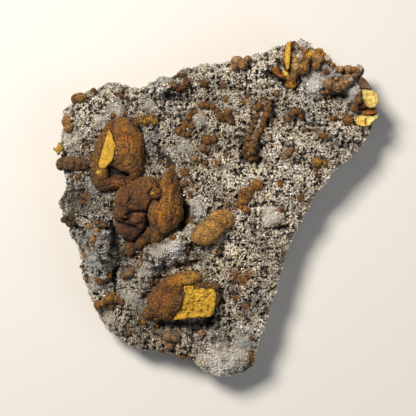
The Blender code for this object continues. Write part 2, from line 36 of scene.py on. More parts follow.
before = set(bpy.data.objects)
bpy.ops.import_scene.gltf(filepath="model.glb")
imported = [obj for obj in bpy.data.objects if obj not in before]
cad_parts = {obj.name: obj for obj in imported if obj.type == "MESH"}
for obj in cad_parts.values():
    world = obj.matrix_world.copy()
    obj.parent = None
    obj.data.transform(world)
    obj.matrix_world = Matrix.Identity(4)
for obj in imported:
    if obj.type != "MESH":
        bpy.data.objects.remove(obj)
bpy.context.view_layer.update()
mm = 0.001
boxMiddle = np.array([0.47, -0.05])  # where the origin falls in the tables
rng = np.random.default_rng(11)


def hexColour(code):
    # sRGB hex to linear: c / 12.92 up to 0.04045, else ((c + 0.055) / 1.055) ** 2.4
    parts = [int(code[i:i + 2], 16) / 255 for i in (1, 3, 5)]
    return np.array([c / 12.92 if c <= 0.04045 else ((c + 0.055) / 1.055) ** 2.4 for c in parts])


def blended(colours, code, share):
    # the old colours times 1 - share, and the new one times the share
    return colours * (1 - share) + hexColour(code) * share


def cellRandom(cell, seed):
    # a fixed random number from 0 to 1 for each cell of a lattice, mixed from its three whole numbers
    mixed = (cell[:, 0] * 73856093) ^ (cell[:, 1] * 19349663) ^ (cell[:, 2] * 83492791) ^ (seed * 2654435761)
    mixed = ((mixed ^ (mixed >> 13)) * 1274126177) & 0x7FFFFFFFFFFF
    return ((mixed ^ (mixed >> 16)) & 0xFFFFF) / 0xFFFFF


def latticeNoise(points, size, seed):
    # value noise from -1 to 1: random values at the corners of cubes of this size, blended by 3t^2 - 2t^3
    grid = points / size + 500.0
    cell = np.floor(grid).astype(np.int64)
    part = grid - cell
    part = part * part * (3 - 2 * part)
    total = np.zeros(len(points))
    for corner in product((0, 1), repeat=3):
        value = 2 * cellRandom(cell + corner, seed) - 1
        total += value * np.prod(np.where(corner, part, 1 - part), axis=1)
    return total


def nearestCells(points, size, seed):
    # one middle is scattered in each cube of this size: the square of d / size, where d is the distance to
    # the nearest middle, and a random number from 0 to 1 that belongs to that middle
    grid = points / size + 500.0
    low = np.floor(grid - 0.5).astype(np.int64)
    nearest, number = np.full(len(points), 9.0), np.zeros(len(points))
    for corner in product((0, 1), repeat=3):
        cell = low + corner
        middle = cell + np.stack([0.2 + 0.6 * cellRandom(cell, seed + 100 * k) for k in range(3)], axis=1)
        away = ((grid - middle) ** 2).sum(axis=1)
        number = np.where(away < nearest, cellRandom(cell, seed + 7), number)
        nearest = np.minimum(nearest, away)
    return nearest, number


def cellBumps(points, size, seed):
    # rounded bumps: the height is 1 - (d / size)^2
    return np.clip(1 - nearestCells(points, size, seed)[0], 0, 1)


def layeredNoise(points, size, seed, layers=3):
    # each layer has half the size and half the strength of the one before
    return sum(latticeNoise(points, size / 2**i, seed + i) / 2**i for i in range(layers))


def bell(distance, width):
    # 1 in the middle, 0.37 at the width
    return np.exp(-((distance / width) ** 2))


def toLine(x, y, start, end):
    # distance from points to the straight line between two ends
    ax, ay = end[0] - start[0], end[1] - start[1]
    share = np.clip(((x - start[0]) * ax + (y - start[1]) * ay) / (ax * ax + ay * ay), 0, 1)
    return np.hypot(x - start[0] - share * ax, y - start[1] - share * ay)


def toPath(x, y, path):
    return np.min([toLine(x, y, a, b) for a, b in zip(path, path[1:])], axis=0)


def unit(rows):
    return rows / np.maximum(np.linalg.norm(rows, axis=-1, keepdims=True), 1e-9)


def turned(points, degrees):
    angle = math.radians(degrees)
    turn = np.array([[math.cos(angle), math.sin(angle)], [-math.sin(angle), math.cos(angle)]])
    return np.column_stack([points[:, :2] @ turn, points[:, 2]])


def inOval(x, y, middleX, middleY, a, b, turn):
    # distance from the middle of a turned oval: 1 on its edge, where (u / a)^2 + (v / b)^2 is 1
    local = turned(np.column_stack([x - middleX, y - middleY, 0 * x]), -turn)
    return np.hypot(local[:, 0] / a, local[:, 1] / b)


def cornerNormals(points, faces):
    # the normals of the faces round each point, weighted by their areas
    a, b, c = (points[faces[:, i]] for i in range(3))
    square = np.cross(b - a, c - a)
    total = np.zeros_like(points)
    for i in range(3):
        np.add.at(total, faces[:, i], square)
    return unit(total)


def ringFaces(rings, columns):
    # triangles from a first point over closed rings of points to a last point
    i, j = np.meshgrid(np.arange(rings - 1), np.arange(columns), indexing="ij")
    here, right = 1 + i * columns + j, 1 + i * columns + (j + 1) % columns
    j = np.arange(columns)
    last, end = 1 + (rings - 1) * columns, 1 + rings * columns
    return np.vstack([
        np.stack([here, here + columns, right + columns], axis=-1).reshape(-1, 3),
        np.stack([here, right + columns, right], axis=-1).reshape(-1, 3),
        np.stack([0 * j, 1 + j, 1 + (j + 1) % columns], axis=-1),
        np.stack([0 * j + end, last + (j + 1) % columns, last + j], axis=-1),
    ])


def setAttribute(piece, name, values):
    # one number, or one colour, for each point of the mesh
    if values.ndim == 1:
        layer = piece.data.attributes.new(name, "FLOAT", "POINT")
        layer.data.foreach_set("value", values.astype(np.float32))
    else:
        layer = piece.data.attributes.new(name, "FLOAT_COLOR", "POINT")
        rows = np.column_stack([values, np.ones(len(values))])
        layer.data.foreach_set("color", rows.astype(np.float32).ravel())


def nodeName(name):
    # forkedChain is the CAD's forked_chain
    return "".join("_" + letter.lower() if letter.isupper() else letter for letter in name)


def makePiece(name, points, faces, material, tint, smooth=True, replaced=()):
    # table millimetres and triangles, as numpy rows, go into a mesh that rides on the root body. It replaces
    # the CAD's node of its own name, if there is one, or else the nodes named.
    mesh = bpy.data.meshes.new(name)
    placed = (np.asarray(points) - (*boxMiddle, 0.0)) * mm
    mesh.vertices.add(len(placed))
    mesh.vertices.foreach_set("co", placed.astype(np.float32).ravel())
    mesh.loops.add(faces.size)
    mesh.loops.foreach_set("vertex_index", faces.astype(np.int32).ravel())
    mesh.polygons.add(len(faces))
    mesh.polygons.foreach_set("loop_start", np.arange(0, faces.size, 3, dtype=np.int32))
    mesh.update(calc_edges=True)
    if smooth:
        mesh.shade_smooth()
    else:
        mesh.shade_flat()
    mesh.materials.append(material)
    piece = bpy.data.objects.new(name, mesh)
    bpy.context.scene.collection.objects.link(piece)
    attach(piece, "root")
    if nodeName(name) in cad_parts:
        replaced = (nodeName(name),)
    if replaced:
        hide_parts(*replaced)
    setAttribute(piece, "tint", tint)
    return piece


def addNode(tree, kind, settings=None, links=None):
    # a name of the node's own sets that property, any other key sets an input, and stops fill a ramp. A link
    # comes from an output, or from the first output of a node.
    node = tree.nodes.new("ShaderNode" + kind)
    for key, value in (settings or {}).items():
        if key == "stops":
            ramp = node.color_ramp.elements
            for element in list(ramp)[1:]:
                ramp.remove(element)
            ramp[0].position, ramp[0].color = value[0][0], (*hexColour(value[0][1]), 1)
            for position, code in value[1:]:
                ramp.new(position).color = (*hexColour(code), 1)
        elif isinstance(key, str) and hasattr(node, key):
            setattr(node, key, value)
        else:
            node.inputs[key].default_value = value
    for key, source in (links or {}).items():
        tree.links.new(source.outputs[0] if hasattr(source, "outputs") else source, node.inputs[key])
    return node


def newMaterial(name, roughness, ior, **sockets):
    # an empty finish: its tree, its Principled shader and the object's own coordinates
    made = bpy.data.materials.new(name)
    made.use_nodes = True
    tree = made.node_tree
    shader = tree.nodes["Principled BSDF"]
    shader.inputs["Roughness"].default_value = roughness
    shader.inputs["IOR"].default_value = ior
    for key, value in sockets.items():
        shader.inputs[key.replace("_", " ")].default_value = value
    where = addNode(tree, "TexCoord").outputs["Object"]
    return made, tree, shader, where


def finished(tree, shader, colour, bump=None):
    tree.links.new(colour.outputs[0], shader.inputs["Base Color"])
    if bump:
        tree.links.new(bump.outputs[0], shader.inputs["Normal"])


# Quartz, glassy and colourless to milky: broken light from every facet, so it glints white on dark.
# Each crystal has one tint; fine veils inside it show as faint mottling 0.3 mm across.
quartz = {"ior": 1.544, "milkyRoughness": 0.34, "clearRoughness": 0.06, "veil": 0.3}


def drusyQuartz(name, roughness, transmission):
    made, tree, shader, where = newMaterial(name, roughness, quartz["ior"], Transmission_Weight=transmission)
    tint = addNode(tree, "Attribute", {"attribute_name": "tint"})
    veil = addNode(tree, "TexNoise", {"Scale": 1 / (quartz["veil"] * mm), "Detail": 2.0}, {0: where})
    light = addNode(tree, "MapRange", {1: 0.3, 2: 0.7, 3: 0.78, 4: 1.12}, {0: veil})
    colour = addNode(tree, "VectorMath", {"operation": "SCALE"}, {0: tint, "Scale": light})
    finished(tree, shader, colour)
    return made


milkyQuartz = drusyQuartz("milkyQuartz", quartz["milkyRoughness"], 0.0)
clearQuartz = drusyQuartz("clearQuartz", quartz["clearRoughness"], 0.85)

# The rock under the druse is a crust of quartz grains 0.9 mm across with dark seams between them. Where it is
# bare it is a pale quartz layer over grey-brown basalt, broken rough, so it is matt with a grain of 0.5 mm.
rock = {"ior": 1.54, "roughness": 0.6, "grain": 0.5, "patch": 9.0, "crust": 0.9, "relief": 0.4}


def brokenRock():
    made, tree, shader, where = newMaterial("brokenRock", rock["roughness"], rock["ior"])
    tint = addNode(tree, "Attribute", {"attribute_name": "tint"})
    grain = addNode(tree, "TexNoise", {"Scale": 1 / (rock["grain"] * mm), "Detail": 3.0}, {0: where})
    patch = addNode(tree, "TexNoise", {"Scale": 1 / (rock["patch"] * mm), "Detail": 4.0}, {0: where})
    fine = addNode(tree, "MapRange", {1: 0.3, 2: 0.7, 3: 0.7, 4: 1.25}, {0: grain})
    broad = addNode(tree, "MapRange", {1: 0.3, 2: 0.7, 3: 0.8, 4: 1.15}, {0: patch})
    both = addNode(tree, "Math", {"operation": "MULTIPLY"}, {0: fine, 1: broad})
    crust = addNode(tree, "TexVoronoi", {"Scale": 1 / (rock["crust"] * mm), "feature": "F1"}, {0: where})
    seam = addNode(tree, "MapRange", {1: 0.3, 2: 0.75, 3: 1.0, 4: 0.15}, {0: crust.outputs["Distance"]})
    onFace = addNode(tree, "Attribute", {"attribute_name": "crust"})
    light = addNode(tree, "Mix", {"data_type": "FLOAT", 2: 1.0}, {0: onFace.outputs["Fac"], 3: seam})
    shown = addNode(tree, "Math", {"operation": "MULTIPLY"}, {0: both, 1: light})
    colour = addNode(tree, "VectorMath", {"operation": "SCALE"}, {0: tint, "Scale": shown})
    height = addNode(tree, "Math", {"operation": "ADD"}, {0: grain, 1: light})
    bump = addNode(tree, "Bump", {"Strength": 0.8, "Distance": rock["relief"] * mm}, {"Height": height})
    finished(tree, shader, colour, bump)
    return made


# Gyrolite in balls of fine plates set on edge: matt and velvety. Plate tips are ragged cells 0.6 mm across,
# each painted light in its middle and dark in the seam round it, painted light and shade on the bumps of the
# tips. They catch grey-lilac dust in spots of 1.1 mm, and the film of iron that browns them lies in blotches
# of 5 mm.
gyrolite = {"ior": 1.549, "roughness": 0.85, "tips": 0.6, "ragged": 0.9, "dust": 1.1, "blotch": 5.0,
            "sheen": 0.03, "relief": 0.3}


def platyGyrolite(name, dark, middle, light, dust, dusting=0.6, relief=0.9):
    # the level of each place is 0.6 of its plate tip, 0.2 of its plate's own number and the slow blotches
    made, tree, shader, where = newMaterial(name, gyrolite["roughness"], gyrolite["ior"],
                                            Sheen_Weight=gyrolite["sheen"], Sheen_Roughness=0.5)
    tint = addNode(tree, "Attribute", {"attribute_name": "tint"})
    tipScale = 1 / (gyrolite["tips"] * mm)
    bend = addNode(tree, "TexNoise", {"Scale": tipScale, "Detail": 2.0}, {0: where})
    bent = addNode(tree, "VectorMath", {"operation": "MULTIPLY_ADD", 1: (gyrolite["ragged"] * mm,) * 3},
                   {0: bend.outputs["Color"], 2: where})
    cells = addNode(tree, "TexVoronoi", {"Scale": tipScale, "feature": "F1"}, {0: bent})
    tips = addNode(tree, "MapRange", {1: 0.05, 2: 0.7, 3: 1.0, 4: 0.0}, {0: cells.outputs["Distance"]})
    slow = addNode(tree, "TexNoise",
                   {"Scale": 1 / (gyrolite["blotch"] * mm), "Detail": 3.0, "Roughness": 0.6}, {0: where})
    blotch = addNode(tree, "MapRange", {1: 0.3, 2: 0.7, 3: 0.41, 4: 0.61}, {0: slow})
    spots = addNode(tree, "TexNoise",
                    {"Scale": 1 / (gyrolite["dust"] * mm), "Detail": 3.0, "Roughness": 0.7}, {0: where})
    own = addNode(tree, "Math", {"operation": "MULTIPLY_ADD", 1: 0.2}, {0: cells.outputs["Color"], 2: blotch})
    # painted light on the middle of each plate tip and painted shade in the seam round it, where the bump is
    # low
    shifted = addNode(tree, "Math", {"operation": "MULTIPLY_ADD", 1: 0.6}, {0: tips, 2: own})
    level = addNode(tree, "MapRange", {1: 0.62, 2: 1.15, 3: 0.0, 4: 1.0}, {0: shifted})
    ramp = addNode(tree, "ValToRGB", {"stops": [(0.0, dark), (0.5, middle), (1.0, light)]}, {0: level})
    dusty = addNode(tree, "MapRange", {1: 0.48, 2: 0.68, 3: 0.0, 4: dusting}, {0: spots})
    mixed = addNode(tree, "Mix", {"data_type": "RGBA", 7: (*hexColour(dust), 1)}, {0: dusty, 6: ramp})
    colour = addNode(tree, "VectorMath", {"operation": "MULTIPLY"}, {0: mixed.outputs[2], 1: tint})
    bump = addNode(tree, "Bump", {"Strength": relief, "Distance": gyrolite["relief"] * mm}, {"Height": tips})
    finished(tree, shader, colour, bump)
    return made


rockMaterial = brokenRock()
brownGyrolite = platyGyrolite("brownGyrolite", "#2c1802", "#744a0a", "#b07a1c", "#86602f", 0.5)
tanGyrolite = platyGyrolite("tanGyrolite", "#54360c", "#956926", "#c69a4e", "#a48050", 0.45)
rustGyrolite = platyGyrolite("rustGyrolite", "#281402", "#754808", "#b07a1e", "#866032", 0.4)
dustyGyrolite = platyGyrolite("dustyGyrolite", "#3c2814", "#7c5c38", "#ab8656", "#9a7c5c", 0.5)
orangeGyrolite = platyGyrolite("orangeGyrolite", "#5b3004", "#ab7410", "#dca838", "#a97f3c", 0.3)
yellowGyrolite = platyGyrolite("yellowGyrolite", "#a0720c", "#c49720", "#deb742", "#ccaa50", 0.3, 0.4)
paleYellowGyrolite = platyGyrolite("paleYellowGyrolite", "#b2943e", "#cfb766", "#e2d294", "#d9c995", 0.3, 0.4)
print("materials made")

# The plate is the CAD plate with its faces cut into eighths, smoothed and broken up again: sizes of its
# swellings, knobs, pits, steps and chips, how high or deep they are, and how far its walls stand out.
plate = {
    "cuts": 7, "smoothing": 5, "sink": 1.1, "faceRough": 0.7, "swells": 6.0, "knobs": 3.6, "knobHeight": 1.9,
    "pits": 2.7, "pitDepth": 1.5, "crustHeight": 0.9, "deepHollow": 2.4, "wallOut": 0.35, "wallDepth": 1.2,
    "steps": 5.5, "stepDepth": 1.1, "chips": 2.4, "chipDepth": 0.5, "breakWidth": 3.0,
}
cleanBreak = [
    (80, 41), (77, 36), (73.5, 31), (68, 25.5), (62, 20.5), (56, 14), (51, 7), (47.5, 0.5), (42.5, -9),
    (37.5, -18), (35.5, -26), (32.5, -35), (29.5, -46), (26, -57.5), (22.5, -65.5), (21, -72),
]
# Small relief of the face: ends, half width, height. A groove's height is negative.
faceLines = [
    ((-51.8, -9.5), (-50.6, -17), 1.1, -4.6), ((-50.6, -17), (-49.5, -24), 1.1, -4.4),
    ((-49.5, -24), (-50.7, -32), 0.9, -3.8), ((-50.7, -32), (-50, -40), 0.8, -3.2),
    ((-15.5, 1), (-16.5, -10), 2, -3.5), ((-19, -9.5), (-16, -4), 1.4, -2.5),
    ((-26.5, 56.5), (-13.5, 54.5), 1.6, -2.6), ((-39, 42), (-36.5, 38), 1.8, -3),
    ((-28.5, 30), (-26.5, 26), 1.8, -2.6), ((-35, 27.5), (-32.5, 22), 1.6, -2),
    ((-64, 44), (-58, 42), 0.8, -1.8), ((13, 36), (13.4, 25), 1.7, -2.6), ((13, 24.6), (22, 24.8), 1.4, -2.8),
    ((21.6, 37), (22.6, 29.5), 1, -3), ((28, 54), (30.6, 46), 1.5, -2.8),
    ((43.8, 48), (45.2, 43.6), 1.2, -2.8), ((27.5, 65.8), (31.5, 65), 1.2, -2.6),
    ((33.5, 62.6), (41.5, 61.8), 1.3, -2.4), ((57.5, 57), (65, 56.4), 1.5, -3.2),
    ((49, 54.5), (52.6, 54.6), 1, -3.2), ((50.5, 51), (55, 50.4), 0.8, -1.8),
    ((45.6, 43.8), (57, 42.2), 0.8, -2.6), ((-33, -29.5), (-24, -30), 1.5, -2),
    ((-20, -28.5), (-11, -27.5), 1.4, -2), ((-12, -18), (-7.5, -26), 1.6, -2.4),
    ((-28, -57.5), (-12, -57.5), 1.8, -2.6), ((24, -10.2), (36, -8.6), 0.8, -2.2),
    ((12, -22), (20, -22.4), 0.8, -1.6), ((-50, -63), (-45, -60.5), 0.9, -1.8),
    ((-72, 10.5), (-70.5, -9), 1.1, -1.6), ((55, 35), (66, 32), 2.4, -1.6),
    # ridges
    ((-38, -38), (-31, -21), 3, 2.4), ((-31, -21), (-22, -17), 3.2, 2.2), ((-22, -17), (-12.5, -7.5), 2.4, 2),
    ((-45, -54), (-38, -38), 2.6, 1.6), ((-60.5, -10), (-60, -24), 4, 3.2),
    ((-60, -24), (-60, -45), 4.2, 2.8), ((-55, -12), (-54, -36), 2, 1.4), ((-57, 50), (-62, 36), 2.6, 1.2),
    ((22, -2), (35, -6), 2.6, 1.2),
]
# Small swellings and pits: middle, half width, height.
faceSpots = [
    ((-4.5, -56.6), 2.6, -4.6), ((-9.6, -60.6), 1.5, -3.4), ((3.4, -45.2), 1.5, -3), ((22, -52.8), 1.4, -3),
    ((8, -57), 1.2, -2.2), ((13.7, 43.1), 1.3, -3.6), ((35, 32.5), 1.4, -3.2), ((-44, 53), 1.2, -2.6),
    ((40, 13.4), 1.1, -2.4), ((25.4, -17), 1.5, -2.4), ((4.8, -15), 1.4, -2.2), ((1.2, 18), 1.1, -2),
    ((-36.5, -43.6), 1.5, -2.2), ((-67, 9), 1.3, -1.8), ((7.6, 36.6), 1.3, -2), ((21.5, 2.4), 1.2, -2),
    ((10, 50), 1.2, -1.8), ((26, 61.6), 1.4, -2), ((-7.6, 37.6), 1.2, -2), ((0.4, -10), 1.2, -1.8),
    ((-1, -1.6), 1.4, -2.2), ((-57, 17), 1.2, -1), ((33, -14), 1.2, -1.8), ((15.4, -54), 1.3, -1.8),
    ((30.4, 3.4), 1.1, -1.8), ((50, 31.6), 1.3, -1.8), ((-29, -66), 1.3, -1.6), ((44.6, 12.8), 1.2, -1.8),
    ((-20.5, -20), 4, 1.6), ((13.7, 43.1), 3, 1.6), ((-57, 55), 3, 0.8), ((44, 82), 2.6, 1.4),
    ((-10, 45), 2.4, 1.2),
]
# White crusts of fine crystals: x, y, half sizes along and across, turn in degrees and tint.
whiteCrusts = [
    (-31.6, 38.4, 3, 1.9, 20, "#b9b4ba"), (-32.2, 34.6, 3.2, 2.2, -20, "#b3aeb4"),
    (-29.4, 36.6, 2, 2.6, 0, "#bbb8bd"), (-33.6, 31.8, 1.8, 1.6, 0, "#aaa6ab"),
    (-9.6, 45.6, 2.4, 2, 60, "#d6d2c9"), (-8.6, 43, 1.8, 1.6, 0, "#d9d6ce"),
    (-16.6, 32.6, 1.8, 1.6, 0, "#d3ccbb"), (-16.8, 30.2, 1.9, 1.5, 20, "#d0c9b9"),
    (-21.6, 34.8, 1.8, 1.2, 0, "#c9c3b6"), (-18.6, 64.4, 2.2, 1.7, 15, "#d5d1ca"),
    (-17, 65.2, 1.4, 1.2, 0, "#dad7d0"), (26.2, 24.4, 2, 1.8, 0, "#cfc8ba"),
    (26.8, 21.8, 2.1, 2.4, 30, "#cdc6b8"), (25, 23.2, 1.6, 2.2, 0, "#cac2b3"),
    (25.2, -2.4, 2.8, 1.8, 10, "#c9c3b8"), (28.6, -4.6, 3.2, 2, -20, "#cbc6bc"),
    (32.4, -6, 2.8, 1.6, -10, "#c4beb3"), (30.4, -2.8, 2.2, 1.4, 0, "#c7c0b3"),
    (49.6, 60.2, 2.6, 1.8, 50, "#d6dade"), (52, 62.6, 2.6, 1.6, 40, "#d9dde0"),
    (54.4, 65, 2.2, 1.3, 50, "#d3d8dc"), (56.8, 69.6, 2.2, 1.6, 20, "#c6cbd2"),
    (53.6, 72.6, 2, 1.3, 10, "#c3c8cf"), (68.2, 60.8, 1.6, 2.6, -20, "#d8d7d3"),
    (67.4, 57.4, 1.4, 2.6, 0, "#d3d2ce"), (69.6, 58.6, 1.2, 2.2, -10, "#dcdbd7"),
    (46.6, 52.6, 2.2, 1.3, 30, "#d0cec7"), (43, 83, 2.2, 1.4, 0, "#d8d7d6"), (45, 84.2, 1.5, 1, 0, "#dddcda"),
    (39.6, 80.6, 1.3, 2, 0, "#9b8f95"), (40.8, 77.6, 1.1, 1.8, 0, "#a3999c"),
    (72.1, 71.6, 1.9, 1.8, 0, "#cbbab2"), (34.4, 27.4, 2, 1.5, -20, "#b9a297"),
    (37.2, 26.6, 1.8, 1.3, 10, "#c2aea5"), (38.8, 29.4, 1.6, 1.6, 0, "#b39c92"),
    (36, 29.8, 1.5, 1.2, 0, "#b8a398"), (-8.6, 3.6, 2.4, 1.8, 40, "#cfd0cb"), (-7, 0.4, 2, 1.6, 0, "#cfcdc5"),
    (-11.6, -1.4, 1.8, 3, 0, "#c6ccd0"), (-61.2, -5, 2.2, 1.6, 0, "#c9c4bc"),
    (13.4, -66.2, 3.2, 2.6, 20, "#c4c7c7"), (9.6, -65, 2.2, 2.2, 0, "#c3c3be"),
    (-27, 66.4, 2.6, 1.5, 10, "#bcc3c6"), (-23.8, 65.8, 2, 1.6, 0, "#b6bdc0"),
    (-57.2, 45.6, 1, 2.6, 12, "#d1cfc9"), (-55.8, 42.4, 1, 2.2, 20, "#d3d1cb"),
    (-68, 35.4, 2.4, 1.6, 0, "#c6c2b8"), (-19.6, 48.4, 2, 1.2, 0, "#c4c1ba"),
]
# Places with fine powdery crystals only: x, y and radius.
powderPlaces = [
    (-60, -14, 3.5), (-61, -26, 4), (-60, -36, 3.5), (-53, -16, 3.5), (-52.6, -28, 3), (-35, -30, 4.5),
    (-29, -20, 4.5), (-21, -19, 6), (-14.5, -10, 3.5), (-63, 12, 3), (-50, 51, 3.5), (-57, 44, 3.5),
    (-33, 52, 3), (-27, 66, 4), (-9, 45, 4), (50, 61, 6), (56, 70, 4), (68, 58, 4), (14, -66, 4.5),
    (3, -69.5, 4.5), (-15, 31, 4), (28, -4, 5), (-10, 0, 4.5), (-37, -47, 5), (2, -79, 9.5), (10, -76, 7),
    (-5, -76, 6), (1, -71.5, 5), (-55, -54, 6), (-45, -44, 4), (53, 66, 5), (-72, 36, 5),
]


def cadPlate():
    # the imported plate, its loose triangles merged and each cut into 64, in table millimetres
    source = bmesh.new()
    source.from_mesh(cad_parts["quartz_matrix"].data)
    bmesh.ops.remove_doubles(source, verts=source.verts, dist=1e-6)
    bmesh.ops.subdivide_edges(source, edges=source.edges, cuts=plate["cuts"], use_grid_fill=True)
    bmesh.ops.triangulate(source, faces=source.faces)
    mesh = bpy.data.meshes.new("cadPlate")
    source.to_mesh(mesh)
    source.free()
    points = np.empty(len(mesh.vertices) * 3, np.float32)
    faces = np.empty(len(mesh.polygons) * 3, np.int32)
    mesh.vertices.foreach_get("co", points)
    mesh.polygons.foreach_get("vertices", faces)
    bpy.data.meshes.remove(mesh)
    return points.reshape(-1, 3).astype(float) / mm + (*boxMiddle, 0.0), faces.reshape(-1, 3)


def smoothedPoints(points, faces, passes):
    # each pass moves a point halfway to the mean of its neighbours
    ends = np.concatenate([faces[:, [0, 1]], faces[:, [1, 2]], faces[:, [2, 0]]])
    count = np.bincount(ends[:, 0], minlength=len(points))[:, None]
    for _ in range(passes):
        total = np.zeros_like(points)
        np.add.at(total, ends[:, 0], points[ends[:, 1]])
        points = 0.5 * points + 0.5 * total / np.maximum(count, 1)
    return points


def carvedRelief(x, y):
    # the sum of a bell across each line and round each spot and crust
    relief = 0 * x
    for start, end, width, rise in faceLines:
        relief += rise * bell(toLine(x, y, start, end), width)
    for (spotX, spotY), width, rise in faceSpots:
        relief += rise * bell(np.hypot(x - spotX, y - spotY), width)
    for *oval, _ in whiteCrusts:
        relief += plate["crustHeight"] * bell(inOval(x, y, *oval), 0.9)
    return relief


def hollowShare(points):
    # 0 on the open face to 1 in the deep hollows
    return np.clip(-carvedRelief(points[:, 0], points[:, 1]) / plate["deepHollow"], 0, 1)


def powderShare(places):
    # 1 inside the powdery places, 0 outside, with a ragged edge
    ragged = 0.3 * layeredNoise(places, 5.0, 47)
    near = [np.hypot(places[:, 0] - x, places[:, 1] - y) / radius for x, y, radius in powderPlaces]
    return np.clip((1.2 - np.min(near, axis=0) + ragged) / 0.5, 0, 1)


def pitShare(points):
    # 1 in the middle of small pits scattered over the face, 0 between them, and few in the powdery places
    pits = cellBumps(points * (1, 1, 0), plate["pits"], 91)
    return np.clip((pits - 0.55) / 0.3, 0, 1) * (1 - 0.8 * powderShare(points))


def buildPlate():
    # the face moves along its normals by a noise, rounded knobs, pits and the carved relief; the walls sink
    # by a noise, flat steps and chips, and less along the clean break. The back stays flat.
    points, faces = cadPlate()
    flatBack = points[:, 2] < 0.05
    points = np.where(flatBack[:, None], points, smoothedPoints(points, faces, plate["smoothing"]))
    normals = cornerNormals(points, faces)
    x, y, _ = points.T
    face = np.clip((normals[:, 2] - 0.15) / 0.4, 0, 1)
    broken = bell(toPath(x, y, cleanBreak), plate["breakWidth"])
    knob = cellBumps(points + 0.8 * layeredNoise(points, 2.0, 5)[:, None], plate["knobs"], 7)
    relief = plate["faceRough"] * layeredNoise(points, plate["swells"], 3)
    relief += plate["knobHeight"] * (knob - 0.6)
    relief -= plate["sink"]
    relief -= plate["pitDepth"] * pitShare(points)
    relief = relief * (1 - 0.4 * powderShare(points))
    relief += carvedRelief(x, y)
    steps = nearestCells(points + 0.8 * layeredNoise(points, 2.5, 13)[:, None], plate["steps"], 15)[1]
    wall = plate["wallDepth"] * np.abs(layeredNoise(points, plate["swells"], 9)) + plate["stepDepth"] * steps
    wall += plate["chipDepth"] * cellBumps(points, plate["chips"], 19)
    wall = plate["wallOut"] - wall * (1 - 0.6 * broken)
    move = face * relief + (1 - face) * wall
    points = points + normals * np.where(flatBack, 0.0, move)[:, None]
    points[:, 2] = np.maximum(points[:, 2], 0.0)
    return points, faces, cornerNormals(points, faces), face, broken, knob


platePoints, plateFaces, plateNormals, plateFace, plateBroken, plateKnob = buildPlate()
print("plate", len(platePoints), "points", len(plateFaces), "faces")

# The map of the face's height: the size of its square cells, its extent and how far out its corner lies.
survey = {"cell": 0.6, "wide": 180, "high": 190, "left": 90, "low": 95}


def boxBlur(grid):
    # the sum of nine cells
    for axis in (0, 1):
        grid = sum(np.roll(grid, shift, axis) for shift in (-1, 0, 1))
    return grid


def surveyHeights():
    # the mean height of the face's points in each cell. Empty cells fill from their neighbours, then a blur.
    keep = (plateFace > 0.3) & (platePoints[:, 2] > 8)
    x, y, z = platePoints[keep].T
    column = ((x + survey["left"]) / survey["cell"]).astype(int)
    row = ((y + survey["low"]) / survey["cell"]).astype(int)
    size = (int(survey["high"] / survey["cell"]), int(survey["wide"] / survey["cell"]))
    total, count = np.zeros(size), np.zeros(size)
    np.add.at(total, (row, column), z)
    np.add.at(count, (row, column), 1.0)
    height = total / np.maximum(count, 1)
    known = (count > 0).astype(float)
    for _ in range(12):
        near = boxBlur(known)
        filled = boxBlur(height * known) / np.maximum(near, 1)
        height = np.where(known > 0, height, filled)
        known = np.maximum(known, (near > 0).astype(float))
    return boxBlur(height) / 9


heights = surveyHeights()


def heightAt(x, y):
    # bilinear between the four cells round the place
    u = np.clip((np.asarray(x, float) + survey["left"]) / survey["cell"] - 0.5, 0, heights.shape[1] - 2)
    v = np.clip((np.asarray(y, float) + survey["low"]) / survey["cell"] - 0.5, 0, heights.shape[0] - 2)
    i, j = u.astype(int), v.astype(int)
    a, b = u - i, v - j
    low = heights[j, i] * (1 - a) + heights[j, i + 1] * a
    high = heights[j + 1, i] * (1 - a) + heights[j + 1, i + 1] * a
    return low * (1 - b) + high * b


# Bare rock shows between the crystals, on the broken walls and the back.
rockColours = {
    "underCrystals": "#7e5f36", "edge": "#e2d8c2", "edgeWidth": 1.3, "underPowder": "#c9c5bb",
    "clean": "#b7afa0", "quartzBand": "#a8a091", "wall": "#7d7466", "back": "#6c6254", "bandDepth": 4,
}


def colourRock():
    # from the crystal face down: a pale quartz band, then duller rock with wavy layers, then the back
    x, y, z = platePoints.T
    wave = 1.5 * layeredNoise(platePoints, 9.0, 31)
    depth = heightAt(x, y) - z + wave
    powder = powderShare(platePoints)[:, None]
    # painted shade: the rock is darker between the knobs, in the hollows and in the pits
    shade = (0.5 + 0.5 * plateKnob) * (1 - 0.85 * hollowShare(platePoints))
    shade *= 1 - 0.85 * pitShare(platePoints)
    ground = hexColour(rockColours["underCrystals"])
    ground = blended(ground, rockColours["underPowder"], powder) * shade[:, None]
    edge = bell(toPath(x, y, cleanBreak), rockColours["edgeWidth"])[:, None]
    ground = blended(ground, rockColours["edge"], edge)
    layers = 1 + 0.3 * layeredNoise(platePoints * (0.3, 0.3, 1.5), 2.5, 37)
    layers = layers + 0.3 * layeredNoise(platePoints, 3.0, 39)
    layers *= 0.75 + 0.5 * nearestCells(platePoints, plate["steps"], 15)[1]
    wall = np.where((depth < rockColours["bandDepth"])[:, None], hexColour(rockColours["quartzBand"]),
                    hexColour(rockColours["wall"])) * layers[:, None]
    clean = hexColour(rockColours["clean"]) * layers[:, None]
    wall = wall * (1 - plateBroken[:, None]) + clean * plateBroken[:, None]
    share = faceUp[:, None]
    colours = wall * (1 - share) + ground * share
    return blended(colours, rockColours["back"], np.clip(-plateNormals[:, 2], 0, 1)[:, None])


faceUp = np.clip((plateNormals[:, 2] - 0.1) / 0.35, 0, 1)  # 0 on the walls to 1 on the crystal face
rockPiece = makePiece("quartzMatrix", platePoints, plateFaces, rockMaterial, colourRock())
setAttribute(rockPiece, "crust", faceUp * (1 - 0.7 * powderShare(platePoints)))
print("rock coloured")


def ringPath(x, y, radius):
    angles = [step * math.pi / 6 for step in range(13)]
    return [(x + radius * math.cos(angle), y + radius * math.sin(angle)) for angle in angles]
